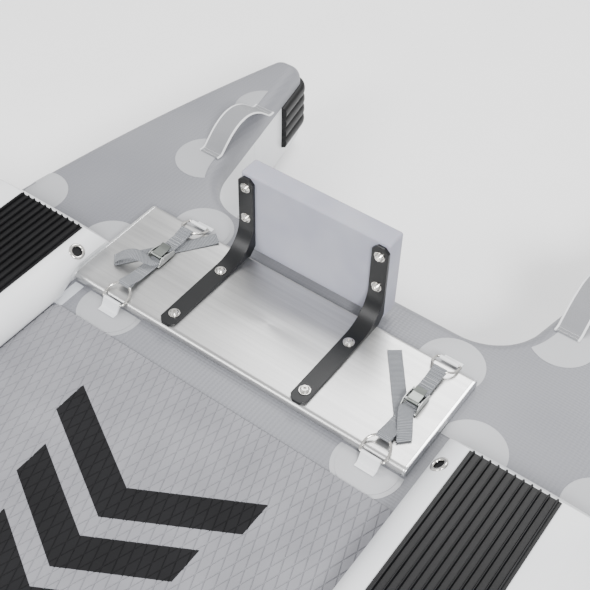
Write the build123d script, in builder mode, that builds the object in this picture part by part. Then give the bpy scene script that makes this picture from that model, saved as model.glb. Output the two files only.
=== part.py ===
from build123d import *
import math
import os

# An inflatable platform dinghy with a swallow-tail stern, a strapped-on aluminium motor plate and
# low raised side chambers.  Millimetres, +X to the bow, +Y to port, +Z up.  The origin is on the
# ground under the middle of the boat.

# ---- driving dimensions -------------------------------------------------------------------------
hull_height = 200.0  # thickness of the drop-stitch hull board
hull_length = 2850.0  # tip of the tail bumpers to the bow
half_beam = 676.0  # half of the greatest width
hull_roll = 28.0  # radius of the hull's rolled edges
bumper_depth = 12.0  # how far a tail bumper stands out of the hull
tip_back = 665.0  # motor plate's middle to the hull's tail tips

plate_length, plate_width, plate_height = 700.0, 224.0, 20.0
plate_y = -22.0  # the plate lies to starboard, its end pressed into the soft side chamber
press_gap = 0.3
block_length, block_depth, block_height = 305.0, 42.0, 177.0
bracket_y = 138.0  # brackets' middles, each side of the plate's middle
bracket_width, bracket_thickness = 32.0, 6.0

side_height = 66.0  # raised side chambers above the deck
side_inner, side_outer = 352.0, 645.0  # widest reach of a side chamber, inboard and outboard
cover_inner, cover_outer = 398.0, 552.0  # black ribbed cover on a side chamber

ring_y = 270.0  # fore-and-aft line of the D-rings and straps
ring_wire = 2.25  # wire radius
web_width, web_thickness = 25.0, 1.6  # strap webbing

# ---- derived places -----------------------------------------------------------------------------
deck = hull_height
bow_x = hull_length / 2
tip_x = bumper_depth - hull_length / 2  # hull's tail tips
mount_x = tip_x + tip_back  # middle of the motor plate
bow_center = bow_x - half_beam  # centre of the round bow
plate_top = deck + plate_height
sides = (("port", 1), ("stbd", -1))

os.makedirs("parts", exist_ok=True)


def save(block, name):
    """Label a finished sub-part and write its STEP file."""
    block.part.label = name
    export_step(block.part, f"parts/{name}.step")


# ---- hull board ---------------------------------------------------------------------------------
# Half of the plan: round bow, straight side, slowly tapering quarter, tail tip, tail's inner edge,
# round notch corner and notch front.
taper_start = mount_x + 548.0
taper_radius = 4000.0
notch_x = mount_x - 207.0
notch_corner = 110.0
notch_half = 243.0  # half-width of the notch front, to the corners' centres
tail_flare = 11.4  # degrees by which the tails' inner edges open outwards
tip_fillet = 30.0

taper_angle = math.degrees(math.asin((taper_start - tip_x) / taper_radius))
corner_x = notch_x - notch_corner
flare_start = (
    corner_x + notch_corner * math.sin(math.radians(tail_flare)),
    notch_half + notch_corner * math.cos(math.radians(tail_flare)),
)
tip_inner = flare_start[1] + (flare_start[0] - tip_x) * math.tan(math.radians(tail_flare))


def hull_plan(level, grow=0.0):
    """The hull's plan as a sketch at one level, grown outwards by a distance."""
    with BuildSketch(Plane.XY.offset(level)) as plan:
        with BuildLine():
            bow = CenterArc((bow_center, 0), half_beam, 0, 90)
            side = Line(bow @ 1, (taper_start, half_beam))
            taper = CenterArc(
                (taper_start, half_beam - taper_radius), taper_radius, 90, taper_angle
            )
            tip = Line(taper @ 1, (tip_x, tip_inner))
            inner = Line(tip @ 1, flare_start)
            corner = CenterArc(
                (corner_x, notch_half), notch_corner, 90 - tail_flare, tail_flare - 90
            )
            Line(corner @ 1, (notch_x, 0))
            mirror(about=Plane.XZ)
        make_face()
        tips = plan.vertices().filter_by_position(Axis.X, tip_x - 1, tip_x + 1)
        fillet(tips, tip_fillet)
        if grow:
            offset(amount=grow, kind=Kind.ARC)
    return plan.sketch


rake_start, rake_height = bow_center - 60.0, 95.0  # the underside sweeps up towards the bow
with BuildPart() as hull_board:
    extrude(hull_plan(0), amount=hull_height)
    fillet(hull_board.faces().sort_by(Axis.Z)[-1].edges(), hull_roll)
    with BuildSketch(Plane.XZ):
        with BuildLine():
            rake_run = bow_x + 1 - rake_start
            rake_radius = (rake_run**2 + rake_height**2) / (2 * rake_height)
            rake_turn = math.degrees(math.asin(rake_run / rake_radius))
            sweep_up = CenterArc((rake_start, rake_radius), rake_radius, -90, rake_turn)
            Polyline(sweep_up @ 1, (bow_x + 1, -1), (rake_start, -1), sweep_up @ 0)
        make_face()
    extrude(amount=half_beam + 5, both=True, mode=Mode.SUBTRACT)
    low_edges = hull_board.edges().filter_by(
        lambda edge: edge.center().Z < rake_height + 1 and abs(edge.center().X - rake_start) > 1
    )
    fillet(low_edges, hull_roll)

# ---- raised side chambers -----------------------------------------------------------------------
side_foot = 20.0  # how far a chamber's foot tucks in under its bulge
side_waist = 20.0  # height of the bulge
shoulder = 46.0  # how far in the flat top starts
chamber_back = mount_x + 4.0  # foot of the slanted after end
end_slant = 43.0  # how far forward of its foot the end's top edge is


def chamber_section(side):
    """Section of a side chamber across the boat, as a sketch where the bow curve starts."""
    top_in, top_out = side_inner + shoulder, side_outer - shoulder
    rise = side_height - side_waist
    points = (
        (side_inner + side_foot, 0.0),
        (side_inner, side_waist),
        (top_in, side_height),
        (top_out, side_height),
        (side_outer, side_waist),
        (side_outer - side_foot, 0.0),
    )
    foot_in, waist_in, crown_in, crown_out, waist_out, foot_out = (
        (side * y, deck + z) for y, z in points
    )
    half = math.sqrt(0.5)
    tuck, lift = side_foot * (1 - half), deck + side_waist * (1 - half)
    curve, crown = shoulder * (1 - half), deck + side_waist + rise * half
    with BuildSketch(Plane.YZ.offset(bow_center)) as section:
        with BuildLine():
            ThreePointArc(foot_in, (side * (side_inner + tuck), lift), waist_in)
            ThreePointArc(waist_in, (side * (side_inner + curve), crown), crown_in)
            Line(crown_in, crown_out)
            ThreePointArc(crown_out, (side * (side_outer - curve), crown), waist_out)
            ThreePointArc(waist_out, (side * (side_outer - tuck), lift), foot_out)
            Line(foot_out, foot_in)
        make_face()
    return section.sketch


valve_bore, valve_depth = 22.0, 24.0  # radius and depth of a valve's barrel
valve_room = 6.0  # free height below a barrel for the poppet's stem
valve_angle = 40.0  # bow-side place of the chamber valves
valve_ring = (side_inner + side_outer) / 2
valves = {
    "hull": (bow_center + 262.0, 0.0, deck),
    "port": (
        bow_center + valve_ring * math.cos(math.radians(valve_angle)),
        valve_ring * math.sin(math.radians(valve_angle)),
        deck + side_height,
    ),
    "stbd": (
        bow_center + valve_ring * math.cos(math.radians(valve_angle)),
        -valve_ring * math.sin(math.radians(valve_angle)),
        deck + side_height,
    ),
}

with hull_board:
    with Locations((valves["hull"][0], valves["hull"][1], deck)):
        Cylinder(
            valve_bore,
            valve_depth + valve_room,
            align=(Align.CENTER, Align.CENTER, Align.MAX),
            mode=Mode.SUBTRACT,
        )
save(hull_board, "hull_board")

for name, side in sides:
    with BuildPart() as chamber:
        section = chamber_section(side)
        extrude(section, amount=chamber_back - bow_center)
        revolve(section, axis=Axis((bow_center, 0, 0), (0, 0, 1)), revolution_arc=-90 * side)
        with BuildSketch(Plane.XZ):
            with BuildLine():
                Polyline(
                    (chamber_back - end_slant, deck - side_height),
                    (chamber_back + 2 * end_slant, deck + 2 * side_height),
                    (chamber_back - 200, deck + 2 * side_height),
                    (chamber_back - 200, deck - side_height),
                    close=True,
                )
            make_face()
        extrude(amount=side_outer + 20, both=True, mode=Mode.SUBTRACT)
        with Locations((mount_x, plate_y, deck)):
            Box(
                plate_width + 2 * press_gap,
                plate_length + 2 * press_gap,
                2 * (plate_height + press_gap),
                mode=Mode.SUBTRACT,
            )
        with Locations(valves[name]):
            Cylinder(
                valve_bore,
                valve_depth + valve_room,
                align=(Align.CENTER, Align.CENTER, Align.MAX),
                mode=Mode.SUBTRACT,
            )
    save(chamber, f"side_chamber_{name}")

# ---- black ribbed covers on the side chambers ---------------------------------------------------
cover_base, rib_height, rib_count = 1.4, 2.0, 11
cover_front = bow_center - 40.0
rib_pitch = (cover_outer - cover_inner) / rib_count
for name, side in sides:
    with BuildPart() as cover:
        top = deck + side_height
        low_y = side_inner + shoulder + 0.5
        with BuildSketch(Plane.YZ.offset(cover_front)):
            with BuildLine():
                outline = [(cover_outer, top), (cover_outer, top + cover_base)]
                for n in range(rib_count):
                    rib = cover_outer - rib_pitch * (n + 0.5)
                    outline += [
                        (rib + rib_pitch * 0.36, top + cover_base),
                        (rib + rib_pitch * 0.2, top + cover_base + rib_height),
                        (rib - rib_pitch * 0.2, top + cover_base + rib_height),
                        (rib - rib_pitch * 0.36, top + cover_base),
                    ]
                outline += [(low_y, top + cover_base), (low_y, top)]
                outline = [(y, z) for y, z in outline if y >= low_y]
                Polyline([(side * y, z) for y, z in outline], close=True)
            make_face()
        extrude(amount=chamber_back + end_slant + 3 - cover_front)
    save(cover, f"ribbed_cover_{name}")

# ---- black ribbed bumpers round the tail tips ---------------------------------------------------
bumper_low, bumper_high, lobe_count = 50.0, 160.0, 4
bumper_front = mount_x - 530.0
bumper_web = 6.0
lobe_pitch = (bumper_high - bumper_low) / lobe_count
for name, side in sides:
    with BuildPart() as bumper:
        extrude(hull_plan(bumper_low, bumper_web), amount=bumper_high - bumper_low)
        for n in range(lobe_count):
            lobe = hull_plan(bumper_low + lobe_pitch * n + 5, bumper_depth)
            extrude(lobe, amount=lobe_pitch - 10)
        around = hull_plan(bumper_low - 1)
        extrude(around, amount=bumper_high - bumper_low + 2, mode=Mode.SUBTRACT)
        tail_box = (bumper_front - tip_x + 2 * bumper_depth, 600.0, hull_height)
        with Locations((bumper_front, side * 300.0, hull_height / 2)):
            Box(*tail_box, align=(Align.MAX, Align.CENTER, Align.CENTER), mode=Mode.INTERSECT)
    save(bumper, f"tail_bumper_{name}")

# ---- weld tapes along the feet of the side chambers ---------------------------------------------
tape_thickness, tape_inner, tape_outer = 0.8, 346.0, 365.5
tape_back, tape_end = mount_x + plate_width / 2 + 1.0, mount_x + 172.0
for name, side in sides:
    with BuildPart() as tape:
        with Locations((tape_back, side * tape_inner, deck)):
            Box(
                tape_end - tape_back,
                tape_outer - tape_inner,
                tape_thickness,
                align=(Align.MIN, Align.MIN if side > 0 else Align.MAX, Align.MIN),
            )
    save(tape, f"weld_tape_{name}")

# ---- deck pad with an inlaid mark ---------------------------------------------------------------
pad_back, pad_thickness, pad_corner = mount_x + 172.0, 6.0, 12.0
pad_half, pad_nose = 356.5, bow_center + 150.0
pad_rise = 0.4  # the inlay stands this proud of the pad
chevron_back = pad_back + 105.0
chevron_pitch, chevron_width, chevron_half = 120.0, 62.0, 190.0
with BuildPart() as inlay:
    with BuildSketch(Plane.XY.offset(deck + pad_thickness - 1.2)):
        for n in range(3):
            x = chevron_back + n * chevron_pitch
            reach = chevron_half - 34.0 * n
            with BuildLine():
                Polyline(
                    (x, -reach),
                    (x + reach * 0.55, 0),
                    (x, reach),
                    (x + chevron_width, reach),
                    (x + chevron_width + reach * 0.55, 0),
                    (x + chevron_width, -reach),
                    close=True,
                )
            make_face()
    extrude(amount=1.2 + pad_rise)
save(inlay, "pad_inlay")

with BuildPart() as deck_pad:
    with BuildSketch(Plane.XY.offset(deck)):
        with Locations(((pad_back + bow_center) / 2, 0)):
            Rectangle(bow_center - pad_back, 2 * pad_half)
        with Locations((bow_center, 0)):
            Ellipse(pad_nose - bow_center, pad_half)
        fillet(vertices().filter_by_position(Axis.X, pad_back - 1, pad_back + 1), pad_corner)
    extrude(amount=pad_thickness)
    add(inlay.part, mode=Mode.SUBTRACT)
save(deck_pad, "deck_pad")

# ---- round reinforcing patches ------------------------------------------------------------------
patch_radius, patch_thickness, patch_step = 60.0, 0.8, 8.0
corner_patch_y = 384.0
with BuildPart() as corner_patches:
    with BuildSketch(Plane.XY.offset(deck)):
        with Locations(*[(chamber_back, side * corner_patch_y) for _, side in sides]):
            Circle(patch_radius)
        with Locations((chamber_back, 0)):
            Rectangle(
                200, 2 * side_outer, align=(Align.MIN, Align.CENTER), mode=Mode.SUBTRACT
            )
        with Locations((mount_x, plate_y)):
            Rectangle(plate_width + 1, plate_length + 1, mode=Mode.SUBTRACT)
    extrude(amount=patch_thickness)
save(corner_patches, "corner_patches")

ring_patch_x = 126.0  # from the plate's middle
ring_places = [
    (mount_x + end * ring_patch_x, side * ring_y) for end in (1, -1) for _, side in sides
]
with BuildPart() as ring_patches:
    with BuildSketch(Plane.XY.offset(deck)):
        with Locations(*ring_places):
            Circle(patch_radius)
        with Locations((mount_x, plate_y)):
            Rectangle(plate_width + 1, plate_length + 60, mode=Mode.SUBTRACT)
        with Locations((pad_back, 0)):
            Rectangle(200, 2 * pad_half, align=(Align.MIN, Align.CENTER), mode=Mode.SUBTRACT)
    extrude(amount=patch_thickness)
    with BuildSketch(Plane.XY.offset(deck + patch_thickness)):
        with Locations(*ring_places):
            Circle(patch_radius - patch_step)
        with Locations((mount_x, plate_y)):
            Rectangle(plate_width + 1, plate_length + 60, mode=Mode.SUBTRACT)
        with Locations((pad_back, 0)):
            Rectangle(200, 2 * pad_half, align=(Align.MIN, Align.CENTER), mode=Mode.SUBTRACT)
    extrude(amount=patch_thickness)
save(ring_patches, "ring_patches")

handle_places = {"fore": (mount_x - 290.0, 398.0), "aft": (mount_x - 488.0, 404.0)}
handle_y, handle_width = 398.0, 48.0
inset, flare = hull_roll + 1.0, math.tan(math.radians(tail_flare))
flat_x = flare_start[0] + inset * math.sin(math.radians(tail_flare))
flat_y = flare_start[1] + inset * math.cos(math.radians(tail_flare))
with BuildPart() as handle_patches:
    with BuildSketch(Plane.XY.offset(deck)):
        for _, side in sides:
            with Locations(*[(x, side * y) for x, y in handle_places.values()]):
                Circle(patch_radius)
            with Locations((corner_x, side * notch_half)):
                Circle(notch_corner + inset, mode=Mode.SUBTRACT)
            with BuildLine():
                Polyline(
                    (flat_x, side * flat_y),
                    (tip_x, side * (flat_y + (flat_x - tip_x) * flare)),
                    (tip_x, 0),
                    (flat_x, 0),
                    close=True,
                )
            make_face(mode=Mode.SUBTRACT)
    extrude(amount=patch_thickness)
save(handle_patches, "handle_patches")

# ---- carry handles ------------------------------------------------------------------------------
handle_back, handle_front, handle_rise, handle_thickness = 488.0, 302.0, 46.0, 4.0
for name, side in sides:
    with BuildPart() as handle:
        foot = deck + patch_thickness
        x0, x1 = mount_x - handle_back, mount_x - handle_front
        with BuildSketch(Plane.XZ.offset(-side * handle_y)):
            with BuildLine():
                middle = (x0 + x1) / 2
                ThreePointArc((x0, foot), (middle, foot + handle_rise), (x1, foot))
                Line((x1, foot), (x1 - handle_thickness * 1.6, foot))
                ThreePointArc(
                    (x1 - handle_thickness * 1.6, foot),
                    (middle, foot + handle_rise - handle_thickness),
                    (x0 + handle_thickness * 1.6, foot),
                )
                Line((x0 + handle_thickness * 1.6, foot), (x0, foot))
            make_face()
        extrude(amount=handle_width / 2, both=True)
    save(handle, f"carry_handle_{name}")

# ---- motor plate: hollow aluminium plank with round long edges ----------------------------------
plate_wall, web_count, bullnose = 2.5, 5, 9.0
channel_width = (plate_width - 2 * 14.0 - (web_count - 1) * plate_wall) / web_count
plate_bolts_x = (81.0, -45.0)  # from the plate's middle, two in each bracket
insert_radius, insert_depth, cap_thickness = 5.5, 12.0, 1.5
bolt_spots = [
    (mount_x + x, plate_y + side * bracket_y) for x in plate_bolts_x for _, side in sides
]
with BuildPart() as motor_plate:
    with BuildSketch(Plane.XZ.offset(cap_thickness - plate_y - plate_length / 2)):
        with Locations((mount_x, deck + plate_height / 2)):
            Rectangle(plate_width, plate_height)
        fillet(vertices(), bullnose)
        with Locations((mount_x, deck + plate_height / 2)):
            with GridLocations(channel_width + plate_wall, 1, web_count, 1):
                Rectangle(
                    channel_width, plate_height - 2 * plate_wall, mode=Mode.SUBTRACT
                )
    extrude(amount=plate_length - 2 * cap_thickness)
    with Locations(*[(x, y, plate_top) for x, y in bolt_spots]):
        Cylinder(
            insert_radius,
            plate_wall + 1,
            align=(Align.CENTER, Align.CENTER, Align.MAX),
            mode=Mode.SUBTRACT,
        )
save(motor_plate, "motor_plate")

with BuildPart() as plate_caps:
    for port_face in (plate_y + plate_length / 2, plate_y - plate_length / 2 + cap_thickness):
        with BuildSketch(Plane.XZ.offset(-port_face)):
            with Locations((mount_x, deck + plate_height / 2)):
                Rectangle(plate_width, plate_height)
            fillet(vertices(), bullnose)
        extrude(amount=cap_thickness)
save(plate_caps, "plate_end_caps")

with BuildPart() as inserts:
    with Locations(*[(x, y, plate_top) for x, y in bolt_spots]):
        Cylinder(
            insert_radius, insert_depth, align=(Align.CENTER, Align.CENTER, Align.MAX)
        )
        Cylinder(
            4.0,
            insert_depth,
            align=(Align.CENTER, Align.CENTER, Align.MAX),
            mode=Mode.SUBTRACT,
        )
save(inserts, "plate_inserts")

# ---- transom block and its two brackets ---------------------------------------------------------
block_front = mount_x - plate_width / 2 - 15.0
block_bolts_z = (80.0, 150.0)  # above the plate's top
bracket_top, bracket_reach, bracket_curve, bracket_toe = 170.0, 107.0, 62.0, 9.0
heel = 15.0
with BuildPart() as block:
    with Locations((block_front, plate_y, plate_top)):
        Box(
            block_depth,
            block_length,
            block_height,
            align=(Align.MAX, Align.CENTER, Align.MIN),
        )
    fillet(block.edges(), 5.0)
    for z in block_bolts_z:
        for _, side in sides:
            with Locations(
                Plane(
                    origin=(block_front, plate_y + side * bracket_y, plate_top + z),
                    z_dir=(1, 0, 0),
                )
            ):
                Cylinder(
                    4.2,
                    block_depth,
                    align=(Align.CENTER, Align.CENTER, Align.MAX),
                    mode=Mode.SUBTRACT,
                )
save(block, "transom_block")

for name, side in sides:
    with BuildPart() as bracket:
        mid_y = plate_y + side * bracket_y
        face = block_front + bracket_thickness
        leg = plate_top + bracket_thickness
        with BuildSketch(Plane.XZ.offset(-mid_y)):
            with BuildLine():
                curve_out = (face + bracket_curve, leg)
                curve_up = (face, leg + bracket_curve)
                bend = bracket_curve * (1 - math.sqrt(0.5))
                Polyline(
                    curve_out,
                    (mount_x + bracket_reach, leg),
                    (mount_x + bracket_reach, plate_top),
                    (block_front + heel, plate_top),
                    (block_front, plate_top + heel),
                    (block_front, plate_top + bracket_top),
                    (face, plate_top + bracket_top),
                    curve_up,
                )
                ThreePointArc(curve_up, (face + bend, leg + bend), curve_out)
            make_face()
        extrude(amount=bracket_width / 2, both=True)
        toes = bracket.edges().filter_by(Axis.Z).sort_by(Axis.X)[-2:]
        chamfer(toes, bracket_toe)
        tops = bracket.edges().filter_by(Axis.X).sort_by(Axis.Z)[-2:]
        chamfer(tops, bracket_toe)
        for x in plate_bolts_x:
            with Locations((mount_x + x, mid_y, leg)):
                Cylinder(
                    4.2,
                    bracket_thickness,
                    align=(Align.CENTER, Align.CENTER, Align.MAX),
                    mode=Mode.SUBTRACT,
                )
        for z in block_bolts_z:
            with Locations(Plane(origin=(face, mid_y, plate_top + z), z_dir=(1, 0, 0))):
                Cylinder(
                    4.2,
                    bracket_thickness,
                    align=(Align.CENTER, Align.CENTER, Align.MAX),
                    mode=Mode.SUBTRACT,
                )
    save(bracket, f"bracket_{name}")

# ---- M8 button-head screws, washers and nuts ----------------------------------------------------
shank, head_radius, head_height, socket_depth, socket_size = 4.0, 8.0, 4.6, 2.6, 5.0
washer_radius, washer_thickness = 10.0, 1.6
nut_radius, nut_height = 7.5, 8.0
down_seats = [
    Plane(origin=(x, y, plate_top + bracket_thickness), z_dir=(0, 0, 1)) for x, y in bolt_spots
]
front_seats = [
    Plane(
        origin=(block_front + bracket_thickness, plate_y + side * bracket_y, plate_top + z),
        z_dir=(1, 0, 0),
    )
    for z in block_bolts_z
    for _, side in sides
]
back_seats = [
    Plane(
        origin=(block_front - block_depth, plate_y + side * bracket_y, plate_top + z),
        z_dir=(-1, 0, 0),
    )
    for z in block_bolts_z
    for _, side in sides
]


def screws(name, seats, shank_length):
    """A group of button-head screws whose washers lie on the given seats."""
    with BuildPart() as group:
        for seat in seats:
            head = seat.offset(washer_thickness)
            with BuildSketch(head):
                Circle(head_radius)
            extrude(amount=1.4)
            with BuildSketch(head.offset(1.4)):
                Circle(head_radius)
            extrude(amount=head_height - 1.4, taper=38)
            with BuildSketch(head.offset(head_height)):
                RegularPolygon(socket_size / 2, 6, major_radius=False)
            extrude(amount=-socket_depth, mode=Mode.SUBTRACT)
            with BuildSketch(head):
                Circle(shank)
            extrude(amount=-shank_length)
    save(group, name)


def washers(name, seats):
    """A group of plain washers on the given seats."""
    with BuildPart() as group:
        for seat in seats:
            with BuildSketch(seat):
                Circle(washer_radius)
                Circle(shank + 0.2, mode=Mode.SUBTRACT)
            extrude(amount=washer_thickness)
    save(group, name)


screws("plate_screws", down_seats, bracket_thickness + washer_thickness + insert_depth - 1)
washers("plate_washers", down_seats)
block_grip = bracket_thickness + block_depth + 2 * washer_thickness
screws("block_screws", front_seats, block_grip + nut_height + 2)
washers("block_washers", front_seats + back_seats)

with BuildPart() as nuts:
    for seat in back_seats:
        with BuildSketch(seat.offset(washer_thickness)):
            RegularPolygon(nut_radius, 6)
            Circle(shank, mode=Mode.SUBTRACT)
        extrude(amount=nut_height)
save(nuts, "block_nuts")

# ---- D-rings in their loops ---------------------------------------------------------------------
bar_reach, bar_height = 118.5, 18.0  # a ring's bar, from the plate's middle and above the deck
ring_half, ring_corner, ring_depth = 23.0, 4.5, 38.0
ring_tilt = 20.5  # degrees above level
loop_width, loop_gap, loop_wall, loop_foot = 36.0, 0.05, 1.6, 20.0


def ring_plane(x, y, inward):
    """Plane of a D-ring: its x runs along the bar, its y from the bar to the far side."""
    lean = math.radians(ring_tilt)
    away = Vector(inward * math.cos(lean), 0, math.sin(lean))
    along = Vector(0, 1, 0)
    return Plane(origin=(x, y, deck + bar_height), x_dir=along, z_dir=along.cross(away))


def d_ring(plane, name):
    with BuildPart() as ring:
        with BuildLine(plane):
            Line((-ring_half + ring_corner, 0), (ring_half - ring_corner, 0))
            CenterArc((ring_half - ring_corner, ring_corner), ring_corner, -90, 90)
            straight = ring_depth - ring_half
            Line((ring_half, ring_corner), (ring_half, straight))
            CenterArc((0, straight), ring_half, 0, 180)
            Line((-ring_half, straight), (-ring_half, ring_corner))
            CenterArc((-ring_half + ring_corner, ring_corner), ring_corner, 180, 90)
        start = Plane(origin=plane.origin, z_dir=plane.x_dir)
        with BuildSketch(start.offset(-ring_half + ring_corner)):
            Circle(ring_wire)
        sweep()
    save(ring, name)


ring_bars = {
    f"{end}_{name}": (mount_x + way * bar_reach, side * ring_y, -way)
    for end, way in (("fore", 1), ("aft", -1))
    for name, side in sides
}
for key, (x, y, inward) in ring_bars.items():
    d_ring(ring_plane(x, y, inward), f"d_ring_{key}")

with BuildPart() as loops:
    for x, y, inward in ring_bars.values():
        away = -inward
        low = deck + 2 * patch_thickness
        bore = ring_wire + loop_gap
        with BuildSketch(Plane.XZ.offset(-y)):
            with Locations((x, deck + bar_height)):
                Circle(bore + loop_wall)
            with BuildLine():
                reach = bore + loop_wall
                Polyline(
                    (x, deck + bar_height + reach),
                    (x + away * reach, deck + bar_height),
                    (x + away * (reach + 6), low + 1.6),
                    (x + away * loop_foot, low + 1.6),
                    (x + away * loop_foot, low),
                    (x + away * 0.5, low),
                    (x - away * 0.6, deck + bar_height - reach + 1.0),
                    close=True,
                )
            make_face()
            with Locations((x, deck + bar_height)):
                Circle(bore, mode=Mode.SUBTRACT)
        extrude(amount=loop_width / 2, both=True)
save(loops, "ring_loops")

# ---- cam buckles --------------------------------------------------------------------------------
buckle_mid = {"port": -7.0, "stbd": -8.0}  # from the plate's middle
frame_length, frame_width, frame_sheet, cheek_height = 44.0, 31.0, 1.5, 15.0
pin_radius, pin_rise, pin_ahead = 2.0, 12.6, 6.0
bar_behind, bar_rise, cam_bore = 18.5, 8.6, 2.05
strap_rise = 4.3  # underside of a strap above the plate inside a buckle
lever_width, lever_length, lever_sheet = 20.0, 27.0, 2.6
nose_clear = 0.4
coil_radius, coil_wire, coil_turns, coil_pitch = 3.2, 0.35, 3, 0.85
frame_floor = plate_top + 2.4  # the loose tail passes under the buckle

for name, side in sides:
    cx, cy = mount_x + buckle_mid[name], side * ring_y
    with BuildPart() as frame:
        with BuildSketch(Plane.XY.offset(frame_floor)):
            with Locations((cx, cy)):
                Rectangle(frame_length, frame_width)
        extrude(amount=frame_sheet)
        for way in (1, -1):
            wall = cy + way * (frame_width - frame_sheet) / 2
            with BuildSketch(Plane.XZ.offset(-wall)):
                with BuildLine():
                    Polyline(
                        (cx - frame_length / 2, frame_floor),
                        (cx + frame_length / 2, frame_floor),
                        (cx + frame_length / 2 - 4, frame_floor + 6),
                        (cx + pin_ahead + 6, frame_floor + cheek_height - 1),
                        (cx + pin_ahead - 5, frame_floor + cheek_height),
                        (cx - bar_behind + 4, frame_floor + 11),
                        (cx - frame_length / 2, frame_floor + 9),
                        close=True,
                    )
                make_face()
            extrude(amount=frame_sheet / 2, both=True)
        with Locations(
            Plane(origin=(cx - bar_behind, cy, plate_top + bar_rise), z_dir=(0, 1, 0))
        ):
            Cylinder(pin_radius, frame_width)
        with Locations(
            Plane(origin=(cx + pin_ahead, cy, plate_top + pin_rise), z_dir=(0, 1, 0))
        ):
            Cylinder(pin_radius, frame_width + 2, mode=Mode.SUBTRACT)
    save(frame, f"cam_frame_{name}")

    with BuildPart() as pin:
        with Locations(
            Plane(origin=(cx + pin_ahead, cy, plate_top + pin_rise), z_dir=(0, 1, 0))
        ):
            Cylinder(pin_radius, frame_width + 0.8)
    save(pin, f"cam_pin_{name}")

    with BuildPart() as lever:
        nose = pin_rise - strap_rise - web_thickness - nose_clear
        with BuildSketch(Plane.XZ.offset(-cy)):
            px, pz = cx + pin_ahead, plate_top + pin_rise
            with Locations((px, pz)):
                Circle(4.6)
            with BuildLine():
                Polyline(
                    (px - 3.6, pz - 1.2),
                    (px - 1.0, pz - nose),
                    (px + 1.6, pz - nose + 0.4),
                    (px + 3.8, pz - 1.2),
                    close=True,
                )
            make_face()
            with BuildLine():
                Polyline(
                    (px, pz + 4.6),
                    (px, pz + 4.6 - lever_sheet),
                    (px - lever_length * 0.6, pz + 4.4 - lever_sheet),
                    (px - lever_length, pz + 7.2 - lever_sheet),
                    (px - lever_length, pz + 7.2),
                    (px - lever_length * 0.6, pz + 4.4),
                    close=True,
                )
            make_face()
            with Locations((px, pz)):
                Circle(cam_bore, mode=Mode.SUBTRACT)
        extrude(amount=lever_width / 2, both=True)
    save(lever, f"cam_lever_{name}")

    with BuildPart() as spring:
        coil_start = (cx + pin_ahead, cy + side * (lever_width / 2 + 0.7), plate_top + pin_rise)
        with BuildLine():
            coil = Helix(
                coil_pitch,
                coil_pitch * coil_turns,
                coil_radius,
                center=coil_start,
                direction=(0, side, 0),
            )
        with BuildSketch(Plane(origin=coil @ 0, z_dir=coil % 0)):
            Circle(coil_wire)
        sweep()
    save(spring, f"cam_spring_{name}")

# ---- straps -------------------------------------------------------------------------------------
eye_inner, eye_length = 4.6, 5.0  # half-height and centre distance of a strap's eye round a ring
lean = math.radians(ring_tilt)
eye_x = bar_reach - (ring_depth - 2.4) * math.cos(lean)
eye_z = deck + bar_height + (ring_depth - 1.2) * math.sin(lean)
strap_low = plate_top + strap_rise
for name, side in sides:
    cx, cy = mount_x + buckle_mid[name], side * ring_y
    for kind, way in (("long", 1), ("short", -1)):
        with BuildPart() as strap:
            ring_x = mount_x + way * eye_x
            with BuildSketch(Plane.XZ.offset(-cy)):
                with Locations((ring_x, eye_z)):
                    SlotCenterToCenter(eye_length, 2 * (eye_inner + web_thickness))
                root = ring_x - way * (eye_inner + eye_length / 2)
                if kind == "long":
                    end_x, end_low = cx + pin_ahead - 12, strap_low
                    start_x = cx + frame_length / 2 + 4
                else:
                    end_x, end_low = cx - bar_behind - 2.05, plate_top + bar_rise - web_thickness / 2
                    start_x = end_x - 1.5
                with BuildLine():
                    Polyline(
                        (root - way * 1.0, eye_z + web_thickness),
                        (start_x, end_low + web_thickness),
                        (end_x, end_low + web_thickness),
                        (end_x, end_low),
                        (start_x, end_low),
                        (root - way * 1.0, eye_z - web_thickness),
                        (root + way * 1.5, eye_z - 2.6),
                        (root + way * 1.5, eye_z + 2.6),
                        close=True,
                    )
                make_face()
                with Locations((ring_x, eye_z)):
                    SlotCenterToCenter(eye_length, 2 * eye_inner, mode=Mode.SUBTRACT)
            extrude(amount=web_width / 2, both=True)
        save(strap, f"strap_{kind}_{name}")

# ---- loose strap tails --------------------------------------------------------------------------
# A tail comes out of its buckle, runs to a fold and lies back on the plate under the buckle.  Plan
# points are (x from the plate's middle, y from the centreline towards the boat's side); a leg's
# height is the webbing's underside above the plate at even steps from its fold.
tails = {
    "port": {"fold": (65, 297.5), "end": (-81, 185), "buckle": (17, 265), "rise": (6.4, 16.6, 12.6)},
    "stbd": {"fold": (44, 330), "end": (-109, 218), "buckle": (16, 272), "rise": (2.6, 24, 16)},
}
tail_clear = 0.3


def leg_plane(start, end, side):
    """Upright plane along a tail's leg: its x runs from start to end, its y is up."""
    run = Vector(end[0] - start[0], side * (end[1] - start[1]), 0)
    origin = (mount_x + start[0], side * start[1], plate_top)
    return Plane(origin=origin, x_dir=run, z_dir=run.cross(Vector(0, 0, 1))), run.length


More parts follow.
